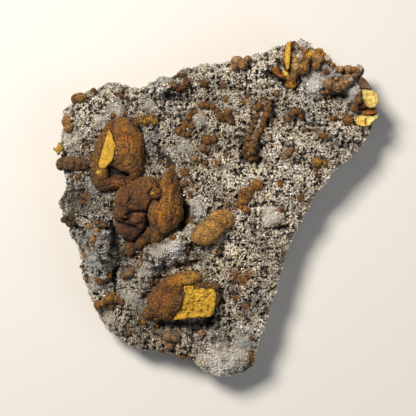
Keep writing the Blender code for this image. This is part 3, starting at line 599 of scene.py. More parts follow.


# Gyrolite lumps. Lobes are (x, y), height over the face, half sizes, turn in degrees and taper. Creases are
# a path, width, depth and the darkness of their painted shade. Films are a place or a path, radius and
# colour:
# some are thin films of dust and iron, some painted light and shade. Scales are a size and height, and
# pockets are the slabs that stand in the lump.
lumps = {
    "upperLump": {
        "material": brownGyrolite, "pockets": ["upperHeart"],
        "lobes": [
            ((-44.9, 31.2), 1.5, (8.8, 15, 8.5), 6), ((-53.2, 27.4), 0, (8, 17.8, 5.6), -13),
            ((-51, 13.2), 0.6, (8.2, 2.9, 4), 0), ((-58, 15.6), 0.8, (3.5, 5, 4.2), 0),
            ((-41.4, 20.6), 0.6, (4.4, 6.4, 5.4), 0), ((-46.2, 20.4), 4, (1.9, 1.9, 2.2), 0),
            ((-49.6, 18.2), 0, (6, 4.2, 3), 0), ((-43.4, 13.6), 0.2, (2.2, 1.6, 2.6), 0),
        ],
        "web": 0.35,
        "holes": [([
            (-54.2, 21.4), (-52, 21.8), (-50.4, 20.7), (-48.6, 19.6), (-47, 18.8), (-45, 18.2), (-43, 17.6),
            (-43.4, 16.4), (-46, 16.6), (-48.2, 16.9), (-50, 17.5), (-51.8, 16.4), (-54, 16), (-53.8, 18.4),
        ], 6.5)],
        "creases": [
            ([(-42.6, 44.6), (-40.4, 41.4), (-38, 40)], 0.5, 1.4),
            ([(-45.6, 14.4), (-44.6, 12.4), (-45.2, 10.8)], 0.4, 2),
        ],
        "filmsAndPaintedLight": [
            (-49.5, 38, 6, "#cdb892"), (-39, 34, 7, "#b8aa9e"), (-52, 12.5, 5, "#c2a884"),
            (-41.5, 15, 5, "#c4b8a8"), (-44, 26, 9, "#d0ccc6"), (-43, 32, 7, "#d2d8c4"),
        ],
    },
    "middleLump": {
        "material": brownGyrolite,
        "lobes": [
            ((-25.4, -0.6), 2, (12, 8, 8.4), 78), ((-23.6, 10.4), 2.6, (9.6, 4.6, 6.2), 84, 0.35),
            ((-28.6, -9.6), 1.4, (8.6, 4.4, 6), 78, -0.2), ((-22.9, 4), 3, (13, 2.6, 8), 88, 0.2),
            ((-25.4, -4.2), 8, (2.7, 2.4, 2.5), 0), ((-19.4, -1.6), 0.8, (4.8, 3.2, 4.8), 84),
            ((-38.2, 6.6), 1, (12.4, 8.4, 7.4), 24), ((-46, -1.6), 0.6, (4.8, 5, 5.6), 0),
            ((-39.8, -4.6), 1.4, (6.6, 4.2, 5.8), 16), ((-37.8, -8.2), 0.8, (3.4, 2.2, 4.8), 10),
            ((-43.6, -10.4), 0.6, (6.8, 3.7, 5), -32), ((-42.6, -18.8), 0.5, (2.7, 2.4, 2.9), 0),
            ((-45.6, -20.6), 0.3, (1.5, 1.7, 1.9), 0), ((-36.4, -15.8), 0.5, (3.6, 2, 3), 24),
            ((-33.4, -12.6), 0.6, (2.2, 3.8, 3.8), -8), ((-38.8, -18.2), 0.4, (2.2, 1.5, 2.4), 0),
            ((-43.2, -21.6), 0.3, (1.9, 1.4, 2), 0),
        ],
        "knobs": 1.6, "web": 0.2,
        "creases": [
            ([(-44.6, -2.6), (-41, -0.9), (-38, -0.7), (-34.4, -1.3)], 0.6, 2.6),
            ([(-49.6, -6.2), (-46.5, -6.9), (-43.5, -8.1), (-39.6, -8.9), (-38.4, -10.4)], 0.6, 2.8, 0.6),
            ([(-34.6, -3), (-34.4, -7), (-35.4, -10), (-38, -12.8), (-41, -15.8)], 0.7, 3.4, 0.6),
            ([(-44, 3), (-42.4, 5.2), (-40.8, 4.4)], 0.5, 1.2), ([(-28.4, 4.4), (-27.8, 8.4)], 0.8, 4),
            ([(-34.6, -2), (-33.2, 2.6), (-31.6, 4.6)], 0.5, 1.6), ([(-30.4, 14.8), (-28.2, 10.6)], 0.6, 1.8),
            ([(-46.4, -4.8), (-43.8, -5.4), (-41.8, -2.6)], 0.4, 1.2),
            ([(-48.6, 3), (-46.8, 1.6), (-44.2, 1.4)], 0.5, 0.9),
            (ringPath(-25.4, -4.2, 1.5), 0.35, 0.7, 0.6), ([(-25.5, -4.2), (-25.2, -4.3)], 0.4, 0.8),
            ([(-23.6, -6.6), (-21.8, -5.6)], 0.5, 1), (ringPath(-30.0, 7.7, 3.0), 0.5, 1.6, 0.8),
        ],
        # (-41, 8) is a painted shadow in the gap under the upper lump; (-24, -3) and (-22, 10) are painted
        # light on the lens's lit right side
        "filmsAndPaintedLight": [
            (-39, -12.5, 5, "#a8a08c"), (-43, -3, 12, "#a4947c"), (-43, -12, 8, "#80725e"),
            (-41, 8, 5, "#978668"), (-41, -4, 5, "#d8ccb8"), (-24, -3, 7, "#fff4a0"), (-22, 10, 6, "#f8eca8"),
            (-25.4, -4.2, 2, "#ccc6ac"),
        ],
    },
    "ovalLump": {
        "material": tanGyrolite,
        "lobes": [
            ((-4, -11.6), 1.5, (8.6, 5.6, 5), 22), ((2.4, -5.6), 1.5, (7, 5.6, 5), 24),
            ((-1.2, -8.4), 1.3, (6, 4.6, 4.6), 34),
        ],
        "knobs": 0.8, "web": 0.35, "filmsAndPaintedLight": [(-1, -3.6, 3.4, "#d2cecb"), (-1, -9, 14, "#d0d2d2")],
        "creases": [([(-7.6, -7.6), (-3, -9), (0.4, -11.4)], 0.7, 0.6, 0.35)],
    },
    "lowerLump": {
        "material": brownGyrolite, "pockets": ["lowerHeart"],
        "lobes": [
            ((-24.6, -46), 1.5, (9.4, 8.6, 8.2), 0), ((-18.4, -36.8), 1.2, (11.4, 4.8, 6.4), 12),
            ((-11.6, -33.8), 1.4, (5.2, 2.8, 4.8), -10), ((-9.2, -43.8), 0.5, (10.8, 8, 6.6), 0),
            ((-4, -38.4), 0.6, (5.2, 2.2, 4.8), -6), ((-33.6, -51.6), 0.8, (3, 3, 3.6), 0),
            ((-29.2, -53.2), 0.8, (3.2, 2.8, 3.8), 0), ((-24.6, -53.6), 0.8, (2.6, 2.8, 3.8), 0),
        ],
        "knobs": 1.2, "web": 0.45,
        "filmsAndPaintedLight": [
            (-18, -34.5, 4, "#e2d6cc"), (-11, -33.6, 4.4, "#fcfaf6"), (-12, -34.6, 5, "#dce8f6"),
            (-24, -41, 4, "#c0ae94"), (-30, -46, 5, "#c4b29a"), (-13, -35.2, 6, "#c6cfec"),
        ],
    },
    "crestLump": {
        "material": tanGyrolite, "pockets": ["crestBlade"],
        "lobes": [
            ((38.8, 72.6), 0.6, (2.3, 6.2, 4.6), 4), ((38.4, 66.8), 0.6, (1.5, 3.4, 3.8), -8),
            ((42.8, 70.4), 0.8, (2.9, 3.2, 4.2), 0), ((41.8, 75.4), 0.6, (2.6, 2.9, 4), 0),
            ((40.2, 80), 0.4, (2.6, 2.8, 3.8), 0), ((44.4, 80.6), 0, (2.6, 2.4, 3.6), 0),
            ((45.4, 73.6), 0.4, (1.5, 2.4, 3.4), 0), ((50.6, 75.2), 1, (2.7, 2.2, 3.6), 10),
            ((50, 71.5), 1, (1.8, 1.7, 3), 0), ((54, 75), 0.6, (1.7, 1.3, 2.6), 0),
            ((56.8, 74.2), 0.6, (1.4, 1.3, 2.4), 0), ((47.4, 78.4), 0.4, (2.4, 2, 3.4), 0),
        ],
        "knobs": 0.8, "web": 0.9, "spacing": 0.3, "scales": (0.8, 0.7),
        "creases": [([(46.6, 73.6), (47.4, 70.6)], 0.7, 2, 0.8)],
        "filmsAndPaintedLight": [
            (43.8, 68.6, 1.8, "#c0a450"), (43, 73.6, 1.2, "#70503a"), (39, 80.2, 2.2, "#888cbd"),
            (41, 78, 1.8, "#9a9fca"), (44.4, 81.4, 2.2, "#b8b4c0"), (50.6, 75.4, 2.4, "#d0d6e1"),
            (47.8, 77.8, 2.6, "#f0f4f4"), (50, 71.4, 1.8, "#a08a78"), (40, 71.6, 4.2, "#ebf6ff"),
            (39, 73, 4, "#c7cfff"), (39.2, 80, 2.6, "#c4ccd4"), (50.2, 75.2, 3, "#c3cbe4"),
            (47.4, 78, 3.4, "#d1dbe0"), (44, 68.6, 2.4, "#d6cfa0"),
        ],
    },
    "crestBall": {
        "material": orangeGyrolite, "pockets": ["crestBlade"],
        "lobes": [((37.7, 62.9), 1, (2.6, 2.6, 3.8), 0), ((36.6, 66), 0.6, (1.5, 1.6, 3), 0)],
        "creases": [([(38.8, 62.5), (38.9, 62.6)], 0.5, 1, 0.9)],
        "filmsAndPaintedLight": [(37.4, 63.4, 1.8, "#d8c070"), (37.5, 63.4, 3.4, "#d6dabc")],
    },
    "orangeBand": {
        "material": orangeGyrolite,
        "lobes": [
            ((44.6, 74.4), 0.8, (1.5, 1.7, 4.2), 30), ((46.2, 76.6), 1.4, (1.9, 1.3, 4.4), 40),
            ((48.6, 78.2), 1.4, (2, 1.3, 4.2), 34), ((51.2, 79.4), 1.4, (2.3, 1.5, 4.2), 6),
            ((53.8, 78.4), 1.2, (1.9, 1.4, 4), -40), ((36.8, 70.4), 0.8, (0.6, 4, 3.9), 6),
            ((38.4, 83.6), 0.4, (1.6, 0.8, 3.2), 20), ((33.6, 75), 0.8, (0.5, 3.2, 4), 0),
        ],
        "knobs": 1.4, "web": 0.3, "spacing": 0.3, "scales": (1, 0.8),
        "filmsAndPaintedLight": [
            (54.9, 77.6, 1.3, "#e4e4d0"), (47, 77.2, 2.4, "#f0f0d0"), (38.2, 83.6, 2, "#a68a6c"),
            (51.2, 79.2, 3, "#eceadc"), (48.6, 77.6, 5, "#d4dde2"),
        ],
    },
    "shoulderRoll": {
        "material": dustyGyrolite,
        "lobes": [
            ((56.3, 62.5), 1, (2.4, 2.5, 4), 20), ((58.4, 61.2), 1, (2.3, 2.5, 4.2), -30),
            ((60.6, 60.8), 1, (2.3, 2.5, 4.4), 0), ((62.8, 61.6), 1, (2.3, 2.4, 4.4), 30),
            ((64.6, 62.8), 1, (2.2, 2.1, 4.2), 40), ((66.4, 63.4), 0.8, (1.7, 1.5, 3.4), 0),
            ((60.2, 65.2), 0.8, (1.2, 1.1, 2.6), 0), ((65.8, 65.8), 1.4, (1.8, 1.8, 3), 0),
            ((69.6, 66.7), 1, (1.5, 1.4, 2.6), 0), ((53.3, 58.1), 0.6, (1.2, 1.1, 2.2), 0),
            ((55.6, 58.5), 0.8, (1.4, 1.4, 2.8), 0), ((56.3, 56.5), 0.6, (1.3, 1.4, 2.4), 0),
            ((58.7, 72.5), 1, (1.4, 1.4, 2.6), 0), ((60.2, 70), 1, (1.3, 1.4, 2.6), 0),
            ((62.6, 70.2), 1, (1.7, 1.7, 2.9), 0), ((66.2, 70.4), 1, (2.1, 2.1, 3.2), 0),
            ((72.4, 69.8), 0.8, (1.7, 1.7, 3.2), 0), ((71.9, 68), 0.8, (1.3, 1.3, 2.8), 0),
            ((69.4, 70.4), 0.8, (1.3, 1.3, 2.6), 0),
        ],
        "web": 0.4,
        "filmsAndPaintedLight": [
            (55.6, 58, 2, "#b89060"), (69.6, 71.2, 1.4, "#e0c870"), (62, 71, 7, "#ffffff"),
            (60.5, 61.5, 5.5, "#eeecdc"),
        ],
    },
    "shoulderRind": {
        "material": rustGyrolite, "pockets": ["shoulderHeartUpper", "shoulderHeartLower"],
        "lobes": [
            ((70.9, 55), 0.9, (1.7, 1.8, 2.6), 0), ((69, 50.8), 0.9, (1.8, 1.8, 2.6), 0),
            ((73.4, 51.8), 0.8, (1.6, 1.2, 3), -30), ((72.6, 57.2), 0.6, (1, 2.2, 3), 0),
            ((77.4, 49.2), -0.6, (4, 2.6, 3.4), 0),
        ],
        "filmsAndPaintedLight": [(73.6, 51.8, 1.8, "#b09aa0")],
    },
    "leftRoll": {
        "material": dustyGyrolite,
        "lobes": [
            ((-78, 22.8), 1.3, (2.4, 2.9, 3.6), 0), ((-75.9, 23), 1.3, (2.1, 3.1, 3.7), 0),
            ((-73.8, 23.2), 1.2, (2.1, 3, 3.6), 0), ((-71.8, 23.1), 1.2, (1.9, 2.8, 3.4), 0),
            ((-68.4, 22.9), 1, (2.3, 3, 3.6), 0), ((-65.8, 22.8), 1, (2.2, 2.8, 3.4), 0),
        ],
        "filmsAndPaintedLight": [(-72, 23, 14, "#9c8964")],
    },
    "upperPair": {
        "material": dustyGyrolite,
        "lobes": [
            ((10.4, 73.6), 0.8, (2.7, 2.6, 3.4), 0), ((13.2, 72.2), 0.8, (2.8, 2.4, 3.4), -35),
            ((15.6, 75.2), 0.6, (1.7, 1.5, 2.8), 0), ((9.2, 70.8), 0.6, (1.5, 1.4, 2.4), 0),
        ],
        "filmsAndPaintedLight": [(12, 73, 6, "#f4efd6")],
    },
    "basinBall": {
        "material": dustyGyrolite,
        "lobes": [((-43.2, -31.6), 1, (2.8, 2.3, 3), 35), ((-45.2, -33.4), 0.9, (2.2, 2, 2.8), 0)],
    },
    "footBalls": {
        "material": dustyGyrolite,
        "lobes": [
            ((-23.6, -63.6), 1, (2.5, 2.3, 3), 0), ((-20.4, -63.7), 1, (2.3, 2.1, 2.8), 0),
            ((-23.4, -67.9), 0.8, (1.9, 2, 2.4), 0),
        ],
    },
    "rimBall": {
        "material": tanGyrolite,
        "lobes": [((-68.4, 56.1), 1.6, (3.3, 2.2, 3), 8), ((-70.6, 55.4), 1.2, (1.7, 1.6, 2.4), 0)],
    },
    "leftPair": {
        "material": tanGyrolite,
        "lobes": [((-75, 44.3), 1.2, (2.2, 2.6, 3), 0), ((-74.1, 40.5), 1, (1.7, 1.7, 2.6), 0)],
    },
}

# Slabs broken to a flat top, most of them hearts, bright yellow where the rind is gone: outline, height over
# the face at its middle and how far its top rises to the right and to the upper end.
slabs = {
    "upperHeart": {
        "material": yellowGyrolite,
        "outline": [
            (-53, 40), (-51.5, 37.4), (-50.6, 34.4), (-49.5, 31.8), (-50.3, 29.2), (-50.6, 26.2),
            (-51.6, 23.8), (-54, 21.6), (-55.6, 19.9), (-58, 20.4), (-58.6, 22.4), (-57.6, 25.6),
            (-56.6, 29.4), (-55.4, 33.2), (-54.3, 37.2),
        ],
        "over": 5.3, "rise": (0.12, 0.02), "knobs": 0.12, "wave": 0.5,
    },
    "lowerHeart": {
        "material": yellowGyrolite,
        "outline": [
            (-16.7, -37.4), (-14, -37.2), (-11.6, -37.4), (-10.6, -39.3), (-8.8, -39.5), (-7.4, -38.7),
            (-5.2, -39.5), (-2.4, -39.2), (-0.3, -39.8), (0.1, -43.5), (-0.3, -48), (-1, -52.2),
            (-3.2, -53.6), (-8, -53.5), (-13, -54.2), (-18.5, -55), (-21.8, -55), (-20.4, -52.6),
            (-18.4, -50), (-17.4, -47.6), (-16, -44.8), (-15.4, -41.6),
        ],
        "over": 5.4, "rise": (0.03, 0.04), "knobs": 2.6, "wave": 0.7,
        "creases": [
            ([(-6.6, -43.5), (-4.9, -43.7)], 0.4, 1, 0.5), ([(-9.3, -45.8), (-8.7, -45.3)], 0.35, 0.9, 0.5),
            ([(-7.4, -49.9), (-6.8, -50.9), (-5.7, -51)], 0.35, 0.9, 0.5),
            ([(-14, -43.4), (-13, -46), (-14.6, -49)], 0.6, 0.7, 0.2),
            ([(-11, -47.6), (-11.6, -51)], 0.6, 0.7, 0.2), ([(-17, -49.6), (-16.4, -52.4)], 0.5, 0.6, 0.2),
        ],
        "filmsAndPaintedLight": [(-8, -41.5, 6, "#c8cece"), (-19, -53, 4, "#c0b8a4"), (-9, -50.5, 5, "#babe9c")],
    },
    "crestBlade": {
        "material": yellowGyrolite,
        "outline": [
            (35.4, 83), (37.1, 83), (37, 80), (36.9, 77), (36.4, 73.5), (36.2, 70.4), (35.7, 68.6),
            (34.8, 68.8), (34.2, 71), (33.5, 74), (33.8, 78.6), (34.6, 81.4),
        ],
        "over": 5.6, "rise": (0, 0), "knobs": 0.4, "wave": 0.9,
        "filmsAndPaintedLight": [
            ([(34.4, 81.8), (33.6, 77), (33.8, 72), (34.6, 69)], 0.35, "#a06c1c"),
            ([(37, 82.6), (36.8, 76), (36.2, 70)], 0.35, "#a06c1c"),
            ([(36, 82), (35, 77), (35, 73), (35.2, 70)], 0.8, "#c8d6e6"),
        ],
    },
    "crestWing": {
        "material": orangeGyrolite, "slot": "gyrolite",
        "outline": [
            (26.9, 69.9), (29.4, 70.6), (31.8, 70.9), (31.9, 68.4), (33, 66.4), (34.7, 65.1), (33.2, 64.9),
            (30.8, 66.2), (28.2, 67.8),
        ],
        "over": 3.2, "rise": (-0.06, 0.04), "knobs": 0.1, "wave": 0.5,
        "filmsAndPaintedLight": [
            (30, 68.6, 6, "#aa8b2c"), ([(31.4, 70.2), (31.6, 67.6)], 0.8, "#8c6c40"),
            ([(28.2, 67.6), (33.6, 65.2)], 0.4, "#e0b860"),
        ],
    },
    "crestOlive": {
        "material": paleYellowGyrolite, "slot": "gyrolite",
        "outline": [
            (31.9, 70.6), (33, 71.4), (34.3, 69.6), (36.3, 68.2), (36.6, 66.2), (34.6, 65.9), (32.9, 66.9),
            (32, 68.6),
        ],
        "over": 4, "rise": (0, 0), "knobs": 0.5, "wave": 0.6, "scales": (1.1, 0.7),
        "filmsAndPaintedLight": [(34.4, 68, 4, "#bcb080")],
    },
    "shoulderHeartUpper": {
        "material": paleYellowGyrolite,
        "outline": [
            (72.6, 59.8), (75.2, 59.9), (78.6, 59.6), (80, 58.4), (81.2, 56.6), (81, 52.4), (79.4, 51.2),
            (77.4, 50.4), (75, 51.4), (73.6, 53.2), (72.5, 55.2),
        ],
        "over": 4.2, "rise": (0, 0), "knobs": 0.9, "wave": 1.5,
        "filmsAndPaintedLight": [(74.6, 52, 1.6, "#9a8478"), (72.9, 58.2, 0.8, "#9a8478"), (77.6, 55.6, 5, "#dad6cc")],
    },
    "shoulderHeartLower": {
        "material": paleYellowGyrolite,
        "outline": [
            (69.6, 44.2), (70.4, 46.6), (72, 47.2), (75.2, 46.8), (78.4, 46.6), (81.2, 47.8), (81.2, 46),
            (79.2, 44.6), (77.4, 42.6), (75.6, 41.3), (73, 41.3), (70.4, 42.4),
        ],
        "over": 3.8, "rise": (0, 0), "knobs": 0.9, "wave": 1.2,
        "creases": [([(75, 45.4), (74.8, 43.4), (75, 41.4)], 0.4, 1.2, 0.6)],
        "filmsAndPaintedLight": [(72.2, 44.2, 3, "#ccb888"), (75, 43, 0.7, "#b08850"), (76, 44.2, 6, "#d0d9e4")],
    },
    "shoulderCap": {
        "material": dustyGyrolite, "slot": "gyrolite",
        "outline": [
            (72.5, 67), (74.6, 65.4), (76.4, 63.2), (78.4, 59.9), (75.4, 60.2), (72.2, 60.4), (71.4, 63.6),
        ],
        "over": 4.4, "rise": (-0.05, -0.05), "knobs": 0.5, "wave": 0.8,
        "filmsAndPaintedLight": [([(74.8, 65.6), (78.6, 60.2)], 0.4, "#f0e8d0")],
    },
    "orangeGap": {
        "material": orangeGyrolite, "slot": "gyrolite",
        "outline": [
            (72.2, 48.2), (73.2, 49.6), (75.4, 50.2), (78, 50.4), (80.6, 51), (80.6, 48.2), (78.8, 47.8),
            (76.4, 47.2), (74, 47.4),
        ],
        "over": 3.8, "rise": (0, 0.02), "knobs": 0.3, "wave": 0.6, "scales": (1.2, 0.5),
        "filmsAndPaintedLight": [(77.4, 49.2, 9, "#bfa400"), (78.6, 47.8, 0.6, "#5c4c58")],
    },
    "leftHeart": {
        "material": yellowGyrolite,
        "outline": [
            (-79, 33.7), (-77.8, 33.6), (-77.3, 31.7), (-76.6, 30.5), (-77.1, 29.4), (-78.2, 29.1),
            (-78.3, 27.6), (-79.2, 26.9), (-80, 27.7), (-79.7, 29.1), (-81.2, 29.3), (-81.7, 30.3),
            (-81, 31.1), (-79.7, 31), (-79.4, 31.9),
        ],
        "over": 2.6, "rise": (0, 0), "knobs": 0.5, "wave": 0.9, "depth": 3.6,
    },
}

# Strings of beads: x, y and radius of each.
strings = {
    "forkedChain": [
        (21, 50.9, 2.2), (20.4, 46.9, 1.6), (19.3, 43.8, 1.4), (18.2, 41.2, 1.3), (17.2, 38.6, 1.4),
        (16.3, 35.6, 1.4), (15.6, 33, 1.2), (15, 30.8, 1.6), (14, 28.9, 1.4), (26.4, 53, 1.6),
        (25.8, 50.2, 2.1), (24.9, 47.3, 2), (23.8, 44.8, 1.5), (23.2, 42.4, 1.6), (21.9, 39.4, 1.5),
        (20.4, 36.8, 1.8), (19.4, 34.4, 1.4), (18.8, 32.1, 1.6), (18.2, 29.3, 2), (19.8, 26.2, 1.9),
        (17.4, 25.8, 1.7), (15.5, 27.2, 1.5), (27.1, 45.2, 1.4),
    ],
    "ringOfBeads": [
        (-20.4, 61.6, 1.5), (-19, 60.5, 1.5), (-17.1, 60.8, 1.3), (-15.7, 61.6, 1.4), (-14.9, 63.2, 1.5),
        (-15.2, 65.2, 1.3), (-16.8, 67, 1.4), (-18.8, 67.6, 1.2), (-20.4, 66.4, 1.1),
    ],
    "upperChain": [
        (-39.8, 43.6, 2.2), (-37.8, 45, 1.9), (-34.7, 43.9, 1.9), (-33, 45.6, 2.2), (-30.8, 44.2, 1.8),
        (-36, 45.9, 1.5),
    ],
    "leftFootChain": [
        (-59.2, -47.8, 2.2), (-55.9, -46.4, 2), (-53.1, -45, 2.5), (-49.8, -44.9, 2.2), (-47.3, -45.9, 1.7),
        (-52.2, -48.2, 1.7), (-51.8, -42.4, 1.5),
    ],
    "leftBow": [
        (-10.3, 48.6, 1.4), (-12.3, 47.4, 1.3), (-13.8, 45.8, 1.6), (-15.2, 43.2, 1.8), (-16, 40.6, 1.5),
        (-12.3, 41.7, 1.6), (-18.9, 39.3, 2.1), (-16.3, 37.5, 1.5), (-14.2, 37.3, 1.4),
    ],
    "twinBow": [
        (-6.7, 52.2, 2), (-4.7, 52, 1.7), (-1.7, 51.4, 1.5), (0.6, 49.3, 1.7), (2.1, 47, 2), (3.3, 45.6, 1.6),
        (5.6, 48.2, 2), (6.5, 46.2, 2.1), (7.3, 44.3, 1.7),
    ],
    "arch": [(36, 44.9, 1.5), (37.6, 47.5, 1.7), (39.8, 48.9, 1.6), (41.5, 48.3, 1.7), (42.4, 46.8, 1.5)],
    "scalyStrip": [
        (20.6, 12.2, 2.7), (17.6, 10.2, 2), (15.8, 7, 2.1), (13.6, 8, 2.6), (13.6, 4.6, 2.5), (11.4, 3, 1.7),
        (12.4, 1.2, 1.3), (15, -0.3, 1.6),
    ],
    "pairOfBalls": [(-4.4, 34.8, 2.5), (-1.9, 35, 2.1)], "dustyPair": [(-6.8, 30.7, 2), (-4.6, 30, 1.6)],
    "lowPair": [(50.4, 23.6, 2.4), (54.2, 23.2, 2.1)],
    "leftKnot": [(-76.2, -5.2, 1.9), (-72.5, -4.4, 1.5), (-73.6, -7, 1.9), (-71.4, -6.4, 1.3)],
}

# How gyrolite's surface stands up: plate tips, knobs, slow swellings and wrinkles, in millimetres, and how
# dark the painted shade is in its wrinkles and in the creases where lobes meet.
grain = {"spacing": 0.36, "tips": 1.0, "tipHeight": 0.42, "knobs": 2.4, "knobHeight": 0.5, "swells": 7.0,
         "swellHeight": 0.5, "wrinkles": 5.0, "wrinkleDepth": 0.5, "wrinkleShade": 0.5, "creaseWidth": 0.8,
         "creaseShade": 0.5}
# A slab: how thick it is, how far the rind is open under its top, its waves, knobs and ragged rim, and how
# dark the painted shadow along the rim is.
slabForm = {"depth": 6.0, "pocket": 2.6, "waves": 4.5, "knobs": 2.1, "smallKnobs": 1.1, "rimStep": 0.4,
            "rimNoise": 1.6, "rimShift": 0.22, "rimShade": 0.35}


def insideOutline(x, y, outline):
    # a point is inside where an odd number of edges lies to its right
    found = np.zeros(len(x), bool)
    for (x0, y0), (x1, y1) in zip(outline, outline[1:] + outline[:1]):
        if y0 != y1:
            spans = (y > min(y0, y1)) & (y <= max(y0, y1))
            found ^= spans & (x < x0 + (y - y0) * (x1 - x0) / (y1 - y0))
    return found


def outOf(x, y, outline):
    # distance to a closed outline, negative inside it
    away = toPath(x, y, outline + outline[:1])
    return np.where(insideOutline(x, y, outline), -away, away)


def ballGrid(halfSizes, spacing, taper=0.0):
    # longitude and latitude with the poles at the sides: (a cos u, b sin u cos v, c sin u sin v), and the
    # section is 1 - taper cos u times as wide, which makes a drop
    a, b, c = halfSizes
    rows = max(7, int(math.pi * (a + max(b, c)) / 2 / spacing))
    columns = max(10, int(math.pi * (b + c) / spacing))
    u, v = np.meshgrid(np.linspace(0, math.pi, rows + 1)[1:-1], np.arange(columns) * 2 * math.pi / columns,
                       indexing="ij")
    ring = np.stack([a * np.cos(u), b * np.sin(u) * np.cos(v), c * np.sin(u) * np.sin(v)], axis=-1)
    ring[..., 1:] *= 1 - taper * ring[..., :1] / a
    points = np.vstack([[[a, 0, 0]], ring.reshape(-1, 3), [[-a, 0, 0]]])
    return points, unit(points / np.square(halfSizes)), ringFaces(rows - 1, columns)


def lobeGaps(points, lobes, middles, skipped):
    # rough distance from points to the surface of every other lobe, negative inside it
    gaps = [np.full(len(points), 99.0)]
    for other, (_, _, sizes, turn, *taper) in enumerate(lobes):
        if other != skipped:
            reach = turned(points - middles[other], -turn) / sizes
            reach[:, 1:] /= np.maximum(1 - sum(taper) * np.clip(reach[:, :1], -1, 1), 0.2)
            gaps.append((np.linalg.norm(reach, axis=1) - 1) * min(sizes))
    return np.array(gaps)


def joined(parts):
    # points, faces and shades of several surfaces as one
    points, faces, shades = zip(*parts)
    starts = np.cumsum([0] + [len(rows) for rows in points[:-1]])
    faces = [rows + start for rows, start in zip(faces, starts)]
    return np.vstack(points), np.vstack(faces), np.concatenate(shades)


def grown(lobes, spacing, knobs=1.0, seed=0, web=0.5):
    # each lobe is a ball's grid. A web, log(1 + sum of exp(-gap / web)) * web thick, first fills the crease
    # between it and its neighbours; swellings, knobs and plate tips then move it along its normals, and
    # wrinkles follow the lines where a noise is 0. The shade is painted: light on the tips, and painted shade
    # between them, in the wrinkles and in the creases where lobes meet.
    parts = []
    middles = [np.array([x, y, heightAt(x, y) + over]) for (x, y), over, *_ in lobes]
    for index, (_, _, halfSizes, turn, *taper) in enumerate(lobes):
        points, normals, faces = ballGrid(halfSizes, spacing, sum(taper))
        points, normals = turned(points, turn) + middles[index], turned(normals, turn)
        gaps = lobeGaps(points, lobes, middles, index)
        filled = web * np.log1p(np.exp(-np.maximum(gaps, -web) / web).sum(axis=0))
        points = points + normals * filled[:, None]
        tips = cellBumps(points, grain["tips"], 71 + seed)
        move = grain["tipHeight"] * (tips - 0.5)
        move += knobs * grain["knobHeight"] * (cellBumps(points, grain["knobs"], 73 + seed) - 0.4)
        move += knobs * grain["swellHeight"] * layeredNoise(points, grain["swells"], 79 + seed)
        wrinkle = bell(layeredNoise(points, grain["wrinkles"], 85 + seed, 2), 0.11)
        move -= min(knobs, 1.2) * grain["wrinkleDepth"] * wrinkle
        points = points + normals * (move * min(1.0, min(halfSizes) / 2.0))[:, None]
        # painted light on the tips, painted shade in the wrinkles and where lobes meet
        shade = (0.2 + 1.2 * tips) * (1 - grain["wrinkleShade"] * wrinkle)
        shade *= 1 - grain["creaseShade"] * bell(gaps.min(axis=0), grain["creaseWidth"])
        parts.append((points, faces, shade))
    return joined(parts)


def settled(points, name):
    # a piece that has a CAD node moves up or down until its top is the node's top
    if nodeName(name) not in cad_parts:
        return points
    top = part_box(nodeName(name))[1].z / mm
    return points + (0, 0, top - points[:, 2].max())


def slabTop(slab, x, y):
    middle = np.mean(slab["outline"], axis=0)
    rise = (x - middle[0]) * slab["rise"][0] + (y - middle[1]) * slab["rise"][1]
    return float(heightAt(*middle)) + slab["over"] + rise


def pocketed(points, shade, slab):
    # inside the slab's outline the rind drops sheer to below the slab's top; painted shadow darkens its
    # broken edge in patches
    x, y, z = points.T
    away = outOf(x, y, slab["outline"])
    share = np.clip((0.15 - away) / 0.4, 0, 1)
    floor = slabTop(slab, x, y) - slabForm["pocket"]
    points = np.column_stack([x, y, z - share * np.maximum(z - floor, 0)])
    # painted shadow in the gap round the slab, stronger in some patches than in others
    shadePatches = np.clip(0.6 + 0.6 * latticeNoise(points, 1.5, 89), 0, 1)
    return points, shade * (1 - 0.6 * shadePatches * bell(away - 0.2, 0.4))


def hollowed(points, shade, outline, depth):
    # inside the outline the surface sinks by the depth, but not into the rock, and the hole is painted dark:
    # a painted shadow
    x, y, z = points.T
    share = np.clip((0.3 - outOf(x, y, outline)) / 0.6, 0, 1)
    floor = np.minimum(z, heightAt(x, y) + 1.2)
    return np.column_stack([x, y, np.maximum(z - depth * share, floor)]), shade * (1 - 0.95 * share)


def creased(points, shade, path, width, depth, dark=0.8):
    # a crease sinks by the depth along its path, a bell across, and painted shade darkens it by the dark
    # share
    x, y, z = points.T
    share = bell(toPath(x, y, path), width)
    return np.column_stack([x, y, z - depth * share]), shade * (1 - dark * share)


def scaly(points, shade, size, height):
    # broken scales: each cell of this size sinks by its own share of the height and is darker the deeper it
    # sinks, its own tone and painted shade in one
    level = nearestCells(points, size, 97)[1]
    return points - np.outer(height * level, (0, 0, 1)), shade * (1.25 - 0.6 * level)


def worked(points, shade, look):
    # the holes, creases and scales of a lump or a slab
    for hole in look.get("holes", ()):
        points, shade = hollowed(points, shade, *hole)
    for crease in look.get("creases", ()):
        points, shade = creased(points, shade, *crease)
    if "scales" in look:
        points, shade = scaly(points, shade, *look["scales"])
    return points, shade


def filmedAndPaintedLight(points, shade, filmsAndPaintedLight):
    # the shade times the colours of patches round a place or along a path, some thin films of dust and iron,
    # some painted light and shade: bells of their radius, and white where there is none
    colours = np.ones((len(points), 3))
    x, y, _ = points.T
    spread = 1 + 0.4 * layeredNoise(points, 3.5, 83)
    for *place, radius, code in filmsAndPaintedLight:
        away = toPath(x, y, place[0]) if len(place) == 1 else np.hypot(x - place[0], y - place[1])
        share = bell(away / spread, radius)[:, None]
        colours *= 1 - share + share * 2 * hexColour(code)
    return colours * shade[:, None]


